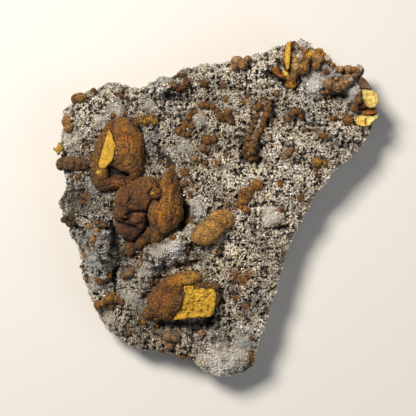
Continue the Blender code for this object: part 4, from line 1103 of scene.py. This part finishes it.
def lumpPiece(name, lump):
    # lobes, settled on the node, with pockets for the slabs, holes, creases and scales
    points, faces, shade = grown(lump["lobes"], lump.get("spacing", grain["spacing"]), lump.get("knobs", 1.0),
                                 len(name), lump.get("web", 0.5))
    points = settled(points, name)
    for slab in lump.get("pockets", ()):
        points, shade = pocketed(points, shade, slabs[slab])
    points, shade = worked(points, shade, lump)
    makePiece(name, points, faces, lump["material"], filmedAndPaintedLight(points, shade, lump.get("filmsAndPaintedLight", ())))
    return points


def knobShare(flat):
    # rounded knobs with smaller ones on them, on places shifted by a noise so that no row shows
    shift = np.column_stack([latticeNoise(flat, 2.6, 23), latticeNoise(flat, 2.6, 27), 0 * flat[:, 2]])
    places = flat + 0.9 * shift
    small = cellBumps(places, slabForm["smallKnobs"], 19)
    return 0.65 * cellBumps(places, slabForm["knobs"], 17) + 0.35 * small


def ragged(outline):
    # the outline with a point every step, rounded at its corners and shifted by a noise
    edge = []
    for start, end in zip(outline, np.roll(outline, -1, axis=0)):
        steps = max(1, int(np.linalg.norm(end - start) / slabForm["rimStep"]))
        edge.append(start + (end - start) * np.arange(steps)[:, None] / steps)
    edge = np.vstack(edge)
    for _ in range(2):
        edge = 0.5 * edge + 0.25 * (np.roll(edge, 1, axis=0) + np.roll(edge, -1, axis=0))
    flat = np.column_stack([edge, np.zeros(len(edge))])
    shift = np.column_stack([latticeNoise(flat, slabForm["rimNoise"], seed) for seed in (5, 6)])
    return edge + slabForm["rimShift"] * shift


def slabPiece(name, slab):
    # rings from the middle out to the outline, over a rounded rim and down the side. The top is a sloping
    # plane with waves and rounded knobs.
    corners = np.array(slab["outline"])
    middle = corners.mean(axis=0)
    edge = ragged(corners)
    size = np.linalg.norm(edge - middle, axis=1).mean()
    shares = list(np.linspace(0, 1, int(size / grain["spacing"]) + 2)[1:])
    depth = slab.get("depth", slabForm["depth"])
    profile = [(share, 0.0) for share in shares[:-1]] + [
        (1 - 0.3 / size, 0.12), (1 - 0.08 / size, 0.4), (1.0, 1.0), (1.0, depth / 2), (0.95, depth)]
    rings = []
    for share, drop in profile:
        xy = middle + share * (edge - middle)
        top = slabTop(slab, *xy.T)
        flat = np.column_stack([xy, 0 * top])
        lift = slab["wave"] * layeredNoise(flat, slabForm["waves"], 15, 2)
        lift += 1.5 * slab["knobs"] * (knobShare(flat) - 0.6)
        rings.append(np.column_stack([xy, top + lift * min(1.0, 1.6 - drop) * (drop < 1.6) - drop]))
    centre = np.append(middle, rings[0][:, 2].mean())
    foot = np.append(middle, rings[-1][:, 2].mean())
    points = settled(np.vstack([[centre], *rings, [foot]]), name)
    faces = ringFaces(len(rings), len(edge))
    if np.cross(edge[0] - middle, edge[3] - middle) < 0:
        faces = faces[:, ::-1]
    # painted shade in the valleys between the knobs
    shade = 1 + 1.3 * min(slab["knobs"], 1.0) * np.minimum(knobShare(points * (1, 1, 0)) - 0.72, 0.08)
    points, shade = worked(points, shade, slab)
    # painted shadow along the rim, where the slab meets the rind
    shade *= 1 - slabForm["rimShade"] * bell(outOf(points[:, 0], points[:, 1], slab["outline"]), 0.35)
    makePiece(name, points, faces, slab["material"],
              filmedAndPaintedLight(points, shade, slab.get("filmsAndPaintedLight", ())))


def beadPiece(name, rows, spacing, seed, material, filmsAndPaintedLight=(), light=1.0, replaced=()):
    # each bead is one lobe as high as it is wide, a third of its radius over the face
    lobes = [((x, y), 0.35 * size, (size - 0.1,) * 3, 37.0 * i) for i, (x, y, size) in enumerate(rows)]
    points, faces, shade = grown(lobes, spacing, 0.5, seed, 0.25)
    points = settled(points, name)
    makePiece(name, points, faces, material, filmedAndPaintedLight(points, shade * light, filmsAndPaintedLight),
              replaced=replaced)


surfaces = {name: lumpPiece(name, lump) for name, lump in lumps.items()}  # for what grows on the lumps
for name, slab in slabs.items():
    slabPiece(name, slab)
print("lumps grown")

# Strings whose colour differs from the rest: the colour that multiplies them.
stringTints = {
    "upperChain": "#e8fcff", "leftFootChain": "#d9dcd4", "scalyStrip": "#e0e5e2", "pairOfBalls": "#dad6d6",
    "lowPair": "#dceaee", "leftKnot": "#8c8882", "ringOfBeads": "#a69a80", "arch": "#c9c8bc",
}
for order, (name, rows) in enumerate(strings.items()):
    filmsAndPaintedLight = [(*rows[0][:2], 60.0, stringTints[name])] if name in stringTints else ()
    look = dustyGyrolite if name == "dustyPair" else rustGyrolite
    beadPiece(name, rows, grain["spacing"], order, look, filmsAndPaintedLight)

# Balls that the CAD has as nodes take their places and sizes from it.
cadBalls = [f"ball_{number:02d}" for number in range(1, 17)]
ballRows = []
for node in cadBalls:
    low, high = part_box(node)
    ballRows.append(((low.x + high.x) / 2 / mm + boxMiddle[0], (low.y + high.y) / 2 / mm + boxMiddle[1],
                     (high.x - low.x + high.y - low.y) / 4 / mm))
beadPiece("singleBalls", ballRows, grain["spacing"], 21, rustGyrolite, replaced=cadBalls)

# Smaller balls, too small and too many for the CAD: x, y and radius.
smallBalls = [
    (3.8, 61.8, 1.5), (15.6, 56.6, 1.2), (11.2, 60.8, 1), (23.9, 55, 1.2), (13.7, 53.4, 1.5), (44.3, 39.8, 1),
    (49.7, 39.4, 1.3), (50, 19.6, 1.2), (51.3, 17, 1), (32.2, -0.2, 1.2), (31.9, -7.3, 1), (60.9, 46.4, 1.1),
    (58.7, 45.5, 1.5), (5, 27.3, 1), (-5.5, 23.1, 1.5), (1, 23.1, 1.6), (-24.7, 22.1, 1.2),
    (-21.7, 21.1, 1.5), (-28, 24.3, 1.1), (-11.7, 11.8, 1.4), (-13, 7.8, 1.2), (5.7, 1.8, 1.5),
    (-13.7, -6, 2), (-12.4, -4.8, 1.4), (-15.2, -7, 1.5), (-21.3, -14, 1.7), (-18.3, -26.8, 1.2),
    (-14.3, -28, 1.5), (-15.3, -29.8, 1.2), (-37.1, -22, 1.5), (-40.5, -24, 1), (-36.8, -25, 0.9),
    (-38.5, -28.4, 1.2), (-32.1, -36.8, 1.2), (-29.8, -35.8, 1.7), (-53.4, -32, 1.4), (-59.2, -34.8, 1.1),
    (-57.5, -36.1, 1.5), (-65.3, -23, 1.2), (-67.9, -28.8, 1), (-62.9, -19, 0.8), (-60.5, -13.3, 1),
    (-58.9, -6.7, 1.2), (-48.2, 57, 1.5), (-61.9, 60, 1.5), (-51.5, 46.9, 1.5), (-45.8, 47.9, 1.2),
    (-64.9, 32.9, 1.2), (-62.6, 26.5, 1.3), (-68.9, 16.5, 1.4), (-66.6, 3.8, 1.2), (-43.5, -61.6, 1.4),
    (-36.5, -56.5, 1.5), (-30.1, -58.9, 1.5), (-27.4, -71.6, 1), (-17, -74.3, 1.2), (-14, -74.3, 1),
    (9.5, -33.5, 1.5), (12.8, -35.8, 1.6), (15.8, -34.5, 1), (9.5, -44.2, 1.4), (17.5, -64.3, 1.2),
    (24.9, -30.3, 0.8), (17.9, -72.4, 1.2), (18.2, -75, 1.3), (17.7, -77.4, 1.1),
]
dustyBalls = [
    (-10.7, 25.5, 1.5), (-34.5, 23.8, 1.2), (9.2, 0.5, 1.4), (-9, -24.4, 1), (-61.2, -15.3, 1.6),
    (-59.2, -10.3, 1.4), (-62.5, -8.3, 1.9), (-56.2, -7.7, 1.5), (-7, -62.3, 1.9), (36, 28, 1.8),
    (34.2, 26.6, 1.5), (37.4, 29.8, 1.4), (11.8, 2.6, 1.2),
]
beadPiece("smallBalls", smallBalls, 0.33, 23, rustGyrolite)
beadPiece("dustyBalls", dustyBalls, 0.33, 27, dustyGyrolite, light=1.35)

# Two buds, broken cups with bright yellow middles: x, y, radius, x and y of the yellow ball, its radius and
# the lump that each grows on. The cup's floor lies half its radius under its rim.
buds = [(-56.9, 17.6, 2.9, -57.9, 18.1, 1.35, "upperLump"), (-30.0, 7.9, 2.7, -31.3, 8.0, 0.8, "middleLump")]


def budPieces():
    cups, yolks = [], []
    for order, (x, y, radius, yolkX, yolkY, yolkRadius, lump) in enumerate(buds):
        near = np.hypot(surfaces[lump][:, 0] - x, surfaces[lump][:, 1] - y) < 1.5
        rim = surfaces[lump][near, 2].max() + 1.5
        points, faces, shade = grown([((x, y), 0.0, (radius,) * 3, 0)], 0.3, 0.8, 31 + order)
        points[:, 2] += rim - points[:, 2].max()
        share = np.clip(1.5 - np.hypot(points[:, 0] - yolkX, points[:, 1] - yolkY) / yolkRadius, 0, 1)
        points[:, 2] -= 0.5 * radius * share
        # painted shade on the sunken floor of the cup round the yolk
        cups.append((points, faces, shade * (1 - 0.6 * share)))
        points, faces, shade = grown([((yolkX, yolkY), 0.0, (yolkRadius,) * 3, 0)], 0.28, 0.5, 35 + order)
        points[:, 2] += rim + 0.1 - points[:, 2].max()
        yolks.append((points, faces, shade))
    for name, parts, material, slot in (("budCups", cups, rustGyrolite, "gyrolite"),
                                        ("budYolks", yolks, yellowGyrolite, "yellow_heart")):
        points, faces, shade = joined(parts)
        makePiece(name, points, faces, material, filmedAndPaintedLight(points, shade, ()))


budPieces()
print("balls grown")

# The druse: six-sided quartz crystals with points, leaning every way, in seven generations. Each row gives
# the piece's name, tries, the cube in which one is kept, radius, rise, lean, lift off the rock, whether it is
# a full prism (the small ones narrow to a point under the rock) and the material. Zones are x, y, radius,
# tint and strength. Lights are lighter and darker places, partly the druse's own tone and partly painted
# light and shade: x, y, radius and factor. The feet, shoulders, hollows, pits and valleys get painted shade.
# Crystals also grow under the pieces named in alsoUnder.
druse = {
    "generations": [
        ("coarseCrystals", 30000, 3, (0.45, 0.75), (0.9, 1.5), 0.8, 0.1, True, milkyQuartz),
        ("lyingCrystals", 50000, 1.8, (0.28, 0.46), (0.7, 1.3), 1.3, 0.5, True, milkyQuartz),
        ("mediumCrystals", 120000, 1.18, (0.26, 0.44), (0.6, 1.1), 0.9, 0.25, False, milkyQuartz),
        ("stubbyCrystals", 120000, 1.18, (0.28, 0.46), (0.45, 0.85), 1.1, 0.35, False, milkyQuartz),
        ("clearCrystals", 20000, 3.3, (0.35, 0.6), (0.8, 1.4), 0.7, 0.2, True, clearQuartz),
        ("fineCrystals", 120000, 1.08, (0.2, 0.33), (0.4, 0.85), 0.9, 0.6, False, milkyQuartz),
        ("frostCrystals", 200000, 0.62, (0.2, 0.34), (0.3, 0.65), 0.9, 0.25, False, milkyQuartz),
    ],
    "paintedFootShade": "#9c8462", "paintedShoulderShade": "#f1eee8", "pitSize": 0.6, "pitShade": 0.6, "patch": 6,
    "patchShade": 0.26, "hollowShade": 0.75, "valley": "#5a3e1a", "valleyStrength": 0.7, "valleyShade": 0.5,
    "spread": (0.64, 1.26),
    "tints": [("#dddcd8", 0.42), ("#d6d0c4", 0.30), ("#c4b696", 0.14), ("#cab78e", 0.08), ("#6d5635", 0.06)],
    "zones": [
        (-52, 50, 18, "#ebe4d4", 0.4), (-60, -24, 14, "#d9dcde", 0.6), (0, 25, 30, "#ecdcb8", 0.3),
        (-20.5, -20, 4.2, "#f8f8f6", 0.85), (-69, 4, 9, "#989484", 0.7), (-33, -27, 4, "#cfccc8", 0.6),
        (-54, -18, 2.6, "#8a7454", 0.75), (-53.4, -28, 2.6, "#86704f", 0.75), (-8, 9, 6, "#f6f1e6", 0.6),
        (5, 14, 7, "#f2ead8", 0.5), (27, 22, 4, "#f4f1ea", 0.6), (55, 30, 12, "#f0e6d0", 0.4),
        (5, -30, 20, "#cdbd9c", 0.3), (12.5, -35, 4, "#b9882e", 0.45), (-15, -74, 5, "#b98a50", 0.5),
        (69.6, 61, 4, "#eceff2", 0.8), (67, 55, 4, "#e6e8ea", 0.7), (49, 62, 6, "#eef2f6", 0.85),
        (56, 70, 4.5, "#e2e7ee", 0.7), (-30, 65, 6, "#c4ccd2", 0.6), (18, -66, 5, "#c9d3da", 0.6),
        (2, -79, 9, "#ece6da", 0.85), (10, -76, 7, "#e4dfd5", 0.7), (-6, -75, 5, "#e2d9c6", 0.7),
        (1, -69, 4, "#ddd1b9", 0.5), (-24, -69, 8, "#d9c49c", 0.6), (-40, -58, 12, "#dcc9a2", 0.35),
        (-15, 8, 5, "#c8a878", 0.35), (9.5, -33.2, 2, "#a5641c", 0.9), (13.5, -35.2, 2, "#a5641c", 0.9),
        (16, -31.8, 1.6, "#b06a1e", 0.9), (17.8, -74, 2.4, "#b5681c", 0.9), (-17, -73.8, 1.8, "#a8652a", 0.9),
    ],
    "lights": [
        (-69, 6, 12, 0.6), (-52, -2, 6, 0.75), (-35, -56, 12, 0.8), (-45, 50, 14, 0.92), (30, 12, 14, 1.35),
        (12, 15, 6, 1.5), (-8, 55, 6, 0.95), (69.5, 60, 5, 1.3), (-28, 27, 7, 0.68), (-20, 24, 5, 0.8),
        (-45, -24, 6, 0.78), (10, -28, 9, 0.9), (10, -50, 9, 0.9), (8, -18, 6, 1.5), (15, 30, 5, 0.75),
        (-70, 25, 6, 0.82), (-9, -22, 5, 0.75), (-30, -60, 8, 0.85), (0, -60, 5, 0.75), (-40, -62, 10, 0.9),
        (30, 54, 5, 0.92), (61, 56, 4, 0.7), (-60, -22, 9, 0.85), (-58, -36, 9, 1.05), (-62, -18, 3, 1.3),
        (-48, 58, 8, 0.96), (-20.5, -20, 5, 2.3), (-54, -22, 4, 0.6), (2, -66, 5, 0.62), (2, -79, 8, 1.45),
        (30, -3, 7, 1.4), (40, 36, 9, 1.3), (36, 16, 7, 1.15), (-35, 25, 4, 0.8), (22, -35, 8, 1.1),
        (60, 45, 6, 1.1), (-12, 30, 7, 0.8), (-58, 8, 9, 0.68), (-66, -15, 6, 0.5), (-46, -40, 14, 0.88),
        (-31, -15, 5, 0.62), (-12, -63, 8, 0.62), (-44, -58, 9, 0.78), (3, -66, 5, 0.7), (-60, -28, 10, 0.9),
        (50, 61, 5, 1.15), (24, 69, 8, 1.8), (24, 57, 7, 1.12), (66, 44, 8, 1.4), (54, 57, 8, 1.15),
        (48, 20, 8, 1.25), (55, 32, 6, 0.86), (66, 68, 6, 0.85), (-72, 5, 8, 0.72), (-64, 52, 8, 1.25),
        (24, -50, 8, 0.88), (-54, -52, 6, 0.85), (20, -62, 6, 0.88), (-42, -27, 6, 0.82), (-5, -28, 6, 0.85),
        (-30, 19, 5, 0.85),
    ],
    "breakGap": 1.3, "stain": "#7d5426", "stainReach": 1.3, "stainStrength": 0.55, "crustStrength": 0.85,
    "alsoUnder": ("crestBall", "orangeBand", "crestOlive"),
}


def footprints():
    # middle, half sizes and turn of all that covers the rock
    found = []
    for name, lump in lumps.items():
        if name not in druse["alsoUnder"]:
            found += [(x, y, a, b, turn) for (x, y), _, (a, b, _), turn, *_ in lump["lobes"]]
    for rows in (*strings.values(), ballRows, smallBalls, dustyBalls):
        found += [(x, y, radius, radius, 0) for x, y, radius in rows]
    return found


def toGrowths(x, y):
    # distance to the nearest lump, ball or slab, negative inside it
    away = np.full(len(x), 99.0)
    for middleX, middleY, a, b, turn in footprints():
        away = np.minimum(away, (inOval(x, y, middleX, middleY, a, b, turn) - 0.9) * min(a, b))
    for name, slab in slabs.items():
        if name not in druse["alsoUnder"]:
            away[insideOutline(x, y, slab["outline"])] = -1.0
    return away


def scatterOnRock(tries, cell):
    # random places weighted by area and by how far up they face; then one is kept in each cube of the cell
    corners = platePoints[plateFaces]
    square = np.cross(corners[:, 1] - corners[:, 0], corners[:, 2] - corners[:, 0])
    area = np.linalg.norm(square, axis=1)
    middle = corners.mean(axis=1)
    facing = square[:, 2] / np.maximum(area, 1e-9)
    depth = heightAt(middle[:, 0], middle[:, 1]) - middle[:, 2]
    faceShare, broken, knob = (
        values[plateFaces].mean(axis=1) for values in (plateFace, plateBroken, plateKnob))
    weight = area * np.clip((facing + 0.25) / 0.5, 0, 1) * np.clip((6.0 - depth) / 3.0, 0, 1)
    weight *= np.where(faceShare < 0.3, 1 - broken, 1)
    chosen = rng.choice(len(weight), tries, p=weight / weight.sum())
    a, b = rng.random((2, tries))
    over = a + b > 1
    a, b = np.where(over, 1 - a, a), np.where(over, 1 - b, b)
    shares = np.stack([1 - a - b, a, b], axis=1)[:, :, None]
    places = (corners[chosen] * shares).sum(axis=1)
    ways = unit((plateNormals[plateFaces[chosen]] * shares).sum(axis=1))
    keys = np.floor(places / cell).astype(np.int64) @ np.array([1, 4096, 4096 * 4096])
    first = np.sort(np.unique(keys, return_index=True)[1])
    places, ways, knob = places[first], ways[first], knob[chosen][first]
    x, y, _ = places.T
    keep = (toGrowths(x, y) > 0) & (toPath(x, y, cleanBreak) > druse["breakGap"])
    keep &= pitShare(places) < druse["pitSize"]
    return places[keep], ways[keep], knob[keep]


def crystals(places, axis, radius, rise, prisms):
    # a prism of six unequal sides along the axis, or six sides that meet under the rock, and a point that
    # stands off the middle. The shoulders are high and low by turns, as quartz has three large and three
    # small end faces.
    count, sides = len(places), 6
    across = unit(np.cross(axis, rng.normal(0, 1, (count, 3))))
    beside = np.cross(axis, across)
    angle = np.arange(sides) * 2 * math.pi / sides + rng.uniform(-0.14, 0.14, (count, sides))
    reach = radius[:, None] * rng.uniform(0.72, 1.15, (count, sides))
    out = np.cos(angle)[..., None] * across[:, None] + np.sin(angle)[..., None] * beside[:, None]
    out *= reach[..., None]
    slope = 0.75 + 0.35 * (np.arange(sides) % 2) + rng.uniform(-0.15, 0.15, (count, sides))
    shoulder = np.maximum(rise[:, None] - radius[:, None] * slope, 0.05)
    foot = (places - axis * 0.9)[:, None] + (out * 0.85 if prisms else 0)
    top = places[:, None] + out + axis[:, None] * shoulder[..., None]
    off = 0.3 * radius[:, None] * rng.uniform(-1, 1, (count, 2))
    tip = places + axis * rise[:, None] + across * off[:, :1] + beside * off[:, 1:]
    each = np.concatenate([foot, top, tip[:, None]], axis=1)
    low, last = foot.shape[1], each.shape[1] - 1
    i = np.arange(sides)
    j = (i + 1) % sides
    rows = [np.stack([i % low, j + low, i + low], 1), np.stack([i + low, j + low, 0 * i + last], 1)]
    if prisms:
        rows += [np.stack([i, j, j + low], 1), np.stack([0 * i[1:-1], i[1:-1] + 1, i[1:-1]], 1)]
    faces = (np.vstack(rows)[None] + (np.arange(count) * (last + 1))[:, None, None]).reshape(-1, 3)
    return each.reshape(-1, 3), faces


def frostShare(places):
    # 1 inside the white crusts, 0 outside, with a ragged edge
    edge = 1 + 0.3 * layeredNoise(places, 3.0, 59)
    nearest = np.full(len(places), 9.0)
    for *oval, _ in whiteCrusts:
        nearest = np.minimum(nearest, inOval(places[:, 0], places[:, 1], *oval) / edge)
    return np.clip(2.5 * (1.3 - nearest), 0, 1)


def crystalTints(places, knob):
    # a tint from the list, shifted by the zones and frosty patches, lighter and darker in slow patches, and
    # partly painted light and shade in the listed light places. Painted shade makes it darker and browner
    # down in hollows, in pits and between the knobs of the crust
    x, y, _ = places.T
    codes, shares = zip(*druse["tints"])
    palette = np.array([hexColour(code) for code in codes])
    colours = palette[rng.choice(len(palette), len(places), p=np.array(shares) / sum(shares))]
    spread = 1 + 0.4 * layeredNoise(places, 7.0, 53)
    crusts = [(crustX, crustY, 1.1 * (a + b) / 2, code, druse["crustStrength"])
              for crustX, crustY, a, b, _, code in whiteCrusts]
    for zoneX, zoneY, radius, code, strength in [*druse["zones"], *crusts]:
        share = strength * bell(np.hypot(x - zoneX, y - zoneY) / spread, radius)[:, None]
        colours = blended(colours, code, share)
    # painted shade: crystals between the knobs of the crust are blended to the dark brown valley colour
    low = np.clip((0.62 - knob) / 0.4, 0, 1)[:, None]
    colours = blended(colours, druse["valley"], druse["valleyStrength"] * low)
    stained = bell(np.maximum(toGrowths(x, y), 0), druse["stainReach"])[:, None] * druse["stainStrength"]
    colours = blended(colours, druse["stain"], stained)
    light = 1 + druse["patchShade"] * layeredNoise(places, druse["patch"], 67)
    light = light * rng.uniform(*druse["spread"], len(places))
    for lightX, lightY, radius, factor in druse["lights"]:
        light *= 1 + (factor - 1) * bell(np.hypot(x - lightX, y - lightY) / spread, radius)
    # painted shade in the hollows, in the pits and between the knobs
    light *= 1 - druse["hollowShade"] * hollowShare(places)
    light *= 1 - druse["pitShade"] * pitShare(places)
    light *= 1.15 - druse["valleyShade"] * np.clip((0.7 - knob) / 0.5, 0, 1)
    return colours * light[:, None]


def crystalPiece(name, places, axis, radius, rise, colours, material, prisms=True):
    # painted shade: the feet are dark brown and the shoulders a little darker, while the points keep the tint
    points, faces = crystals(places, axis, radius, rise, prisms)
    foot, shoulder = hexColour(druse["paintedFootShade"]), hexColour(druse["paintedShoulderShade"])
    paintedShades = np.array([foot] * (6 if prisms else 1) + [shoulder] * 6 + [[1, 1, 1]])
    tint = np.clip(np.asarray(colours)[:, None] * paintedShades, 0, 0.9).reshape(-1, 3)
    makePiece(name, points, faces, material, tint, smooth=False)
    print(name, len(places), "crystals", len(faces), "faces")


def growDruse():
    for name, tries, cell, radius, rise, lean, lift, prisms, material in druse["generations"]:
        places, ways, knob = scatterOnRock(tries, cell)
        frosty = np.maximum(frostShare(places), powderShare(places))
        chance = frosty if name == "frostCrystals" else 1 - 0.75 * frosty
        kept = rng.random(len(places)) < chance
        places, ways, knob = places[kept], ways[kept], knob[kept]
        axis = unit(ways + lean * rng.normal(0, 0.55, places.shape))
        small = (0.5 + 0.5 * np.clip(ways[:, 2] / 0.7, 0, 1)) * (1 - 0.2 * powderShare(places))
        size = (radius[0] + (radius[1] - radius[0]) * rng.random(len(places)) ** 1.3) * small
        crystalPiece(name, places + ways * (lift * small)[:, None], axis, size,
                     rng.uniform(*rise, len(places)) * small, crystalTints(places, knob), material, prisms)


growDruse()

# Longer crystals lying on the druse: x and y of both ends, radius and tint.
blades = [(19.4, 38.4, 23, 49.2, 0.7, "#d9d6cf"), (20.4, 38.8, 22.4, 45, 0.6, "#cfccc4")]
# Small crystals on the lumps: x, y and radius of the place, how many, and tint.
sprinkles = [
    (41.2, 76.6, 1.1, 12, "#e2dcd6"), (39.6, 80.8, 1.3, 14, "#9b8f95"), (43.2, 83.4, 2.4, 60, "#dcdcdc"),
    (46.6, 81.6, 1.6, 26, "#d6d2cc"), (56.6, 76.2, 2, 24, "#d9d4c8"), (52.6, 81, 1.2, 8, "#d9c070"),
    (40.6, 78.6, 1.2, 8, "#b3a5a6"), (46, 82.6, 1.4, 16, "#cfcdcb"), (44.6, 80.4, 1.3, 10, "#a89b98"),
    (37.6, 77, 1.2, 5, "#b3a48e"), (72.2, 71.8, 1.6, 14, "#cbbab2"), (58.6, 67.6, 2, 14, "#c4c9d0"),
    (66.8, 64.6, 1.2, 10, "#c9c6c0"), (-17.4, 63.8, 2.2, 30, "#d9d6cf"),
]


def bladePiece():
    rows = np.array([row[:5] for row in blades])
    starts, ends = rows[:, :2], rows[:, 2:4]
    low = np.column_stack([starts, heightAt(*starts.T) + 0.4])
    high = np.column_stack([ends, heightAt(*ends.T) + 0.9])
    length = np.linalg.norm(high - low, axis=1)
    colours = [hexColour(row[5]) for row in blades]
    crystalPiece("bladeCrystals", low, unit(high - low), rows[:, 4], length, colours, milkyQuartz)


def sprinklePiece():
    # random places in each round, on the lump under them or else on the face
    grounds = np.vstack(list(surfaces.values()))
    places, colours = [], []
    for x, y, reach, count, code in sprinkles:
        near = grounds[np.hypot(grounds[:, 0] - x, grounds[:, 1] - y) < reach + 1.0]
        for _ in range(count):
            away, angle = reach * math.sqrt(rng.random()), rng.uniform(0, 2 * math.pi)
            spotX, spotY = x + away * math.cos(angle), y + away * math.sin(angle)
            under = near[np.hypot(near[:, 0] - spotX, near[:, 1] - spotY) < 0.4]
            places.append((spotX, spotY, max(under[:, 2].max(initial=0), float(heightAt(spotX, spotY)))))
            colours.append(hexColour(code))
    places = np.array(places)
    axis = unit(rng.normal(0, 0.7, places.shape) + (0, 0, 1))
    crystalPiece("sprinkledCrystals", places, axis, rng.uniform(0.25, 0.45, len(places)),
                 rng.uniform(0.5, 1.1, len(places)), colours, milkyQuartz)


bladePiece()
sprinklePiece()

# A plain pale board under the specimen.
board = {"colour": "#dad7d0", "size": 3.0, "roughness": 0.6}
boardMaterial, _, boardShader, _ = newMaterial("paintedBoard", board["roughness"], 1.5)
boardShader.inputs["Base Color"].default_value = (*hexColour(board["colour"]), 1)
half = board["size"] / 2
boardMesh = bpy.data.meshes.new("floor")
boardCorners = [(-half, -half, 0), (half, -half, 0), (half, half, 0), (-half, half, 0)]
boardMesh.from_pydata(boardCorners, [], [(0, 1, 2, 3)])
boardMesh.materials.append(boardMaterial)
floor = bpy.data.objects.new("floor", boardMesh)
bpy.context.scene.collection.objects.link(floor)

# Lamps: position in metres, size and power. Each looks at the origin.
lamps = [
    {"name": "key", "at": (-0.40, 0.46, 0.90), "size": 0.3, "power": 15.5, "colour": "#fff8f0"},
    {"name": "fill", "at": (0.75, -0.30, 0.80), "size": 0.7, "power": 2.2, "colour": "#eef3ff"},
]
for row in lamps:
    light = bpy.data.lights.new(row["name"], "AREA")
    light.size = row["size"]
    light.energy = row["power"]
    light.color = hexColour(row["colour"])
    lamp = bpy.data.objects.new(row["name"], light)
    lamp.location = row["at"]
    lamp.rotation_euler = Vector(row["at"]).to_track_quat("Z", "Y").to_euler()
    bpy.context.scene.collection.objects.link(lamp)
room = {"colour": "#e9edf2", "strength": 0.16}
world = bpy.data.worlds.new("studio")
world.use_nodes = True
background = world.node_tree.nodes["Background"]
background.inputs["Color"].default_value = (*hexColour(room["colour"]), 1)
background.inputs["Strength"].default_value = room["strength"]
bpy.context.scene.world = world
bpy.context.scene.view_settings.view_transform = "Standard"

# The camera looks straight down on the crystal face. Its frame is 208 mm wide there.
camera = {"lens": 120.0, "frame": 0.208, "sensor": 36.0, "aim": (-4.0, 0.75), "faceHeight": 25.0}
cameraData = bpy.data.cameras.new("camera")
cameraData.lens = camera["lens"]
cameraData.sensor_width = camera["sensor"]
cameraData.clip_end = 10.0
cameraObject = bpy.data.objects.new("camera", cameraData)
distance = camera["frame"] * camera["lens"] / camera["sensor"]
cameraObject.location = (*((np.array(camera["aim"]) - boxMiddle) * mm), camera["faceHeight"] * mm + distance)
bpy.context.scene.collection.objects.link(cameraObject)
bpy.context.scene.camera = cameraObject
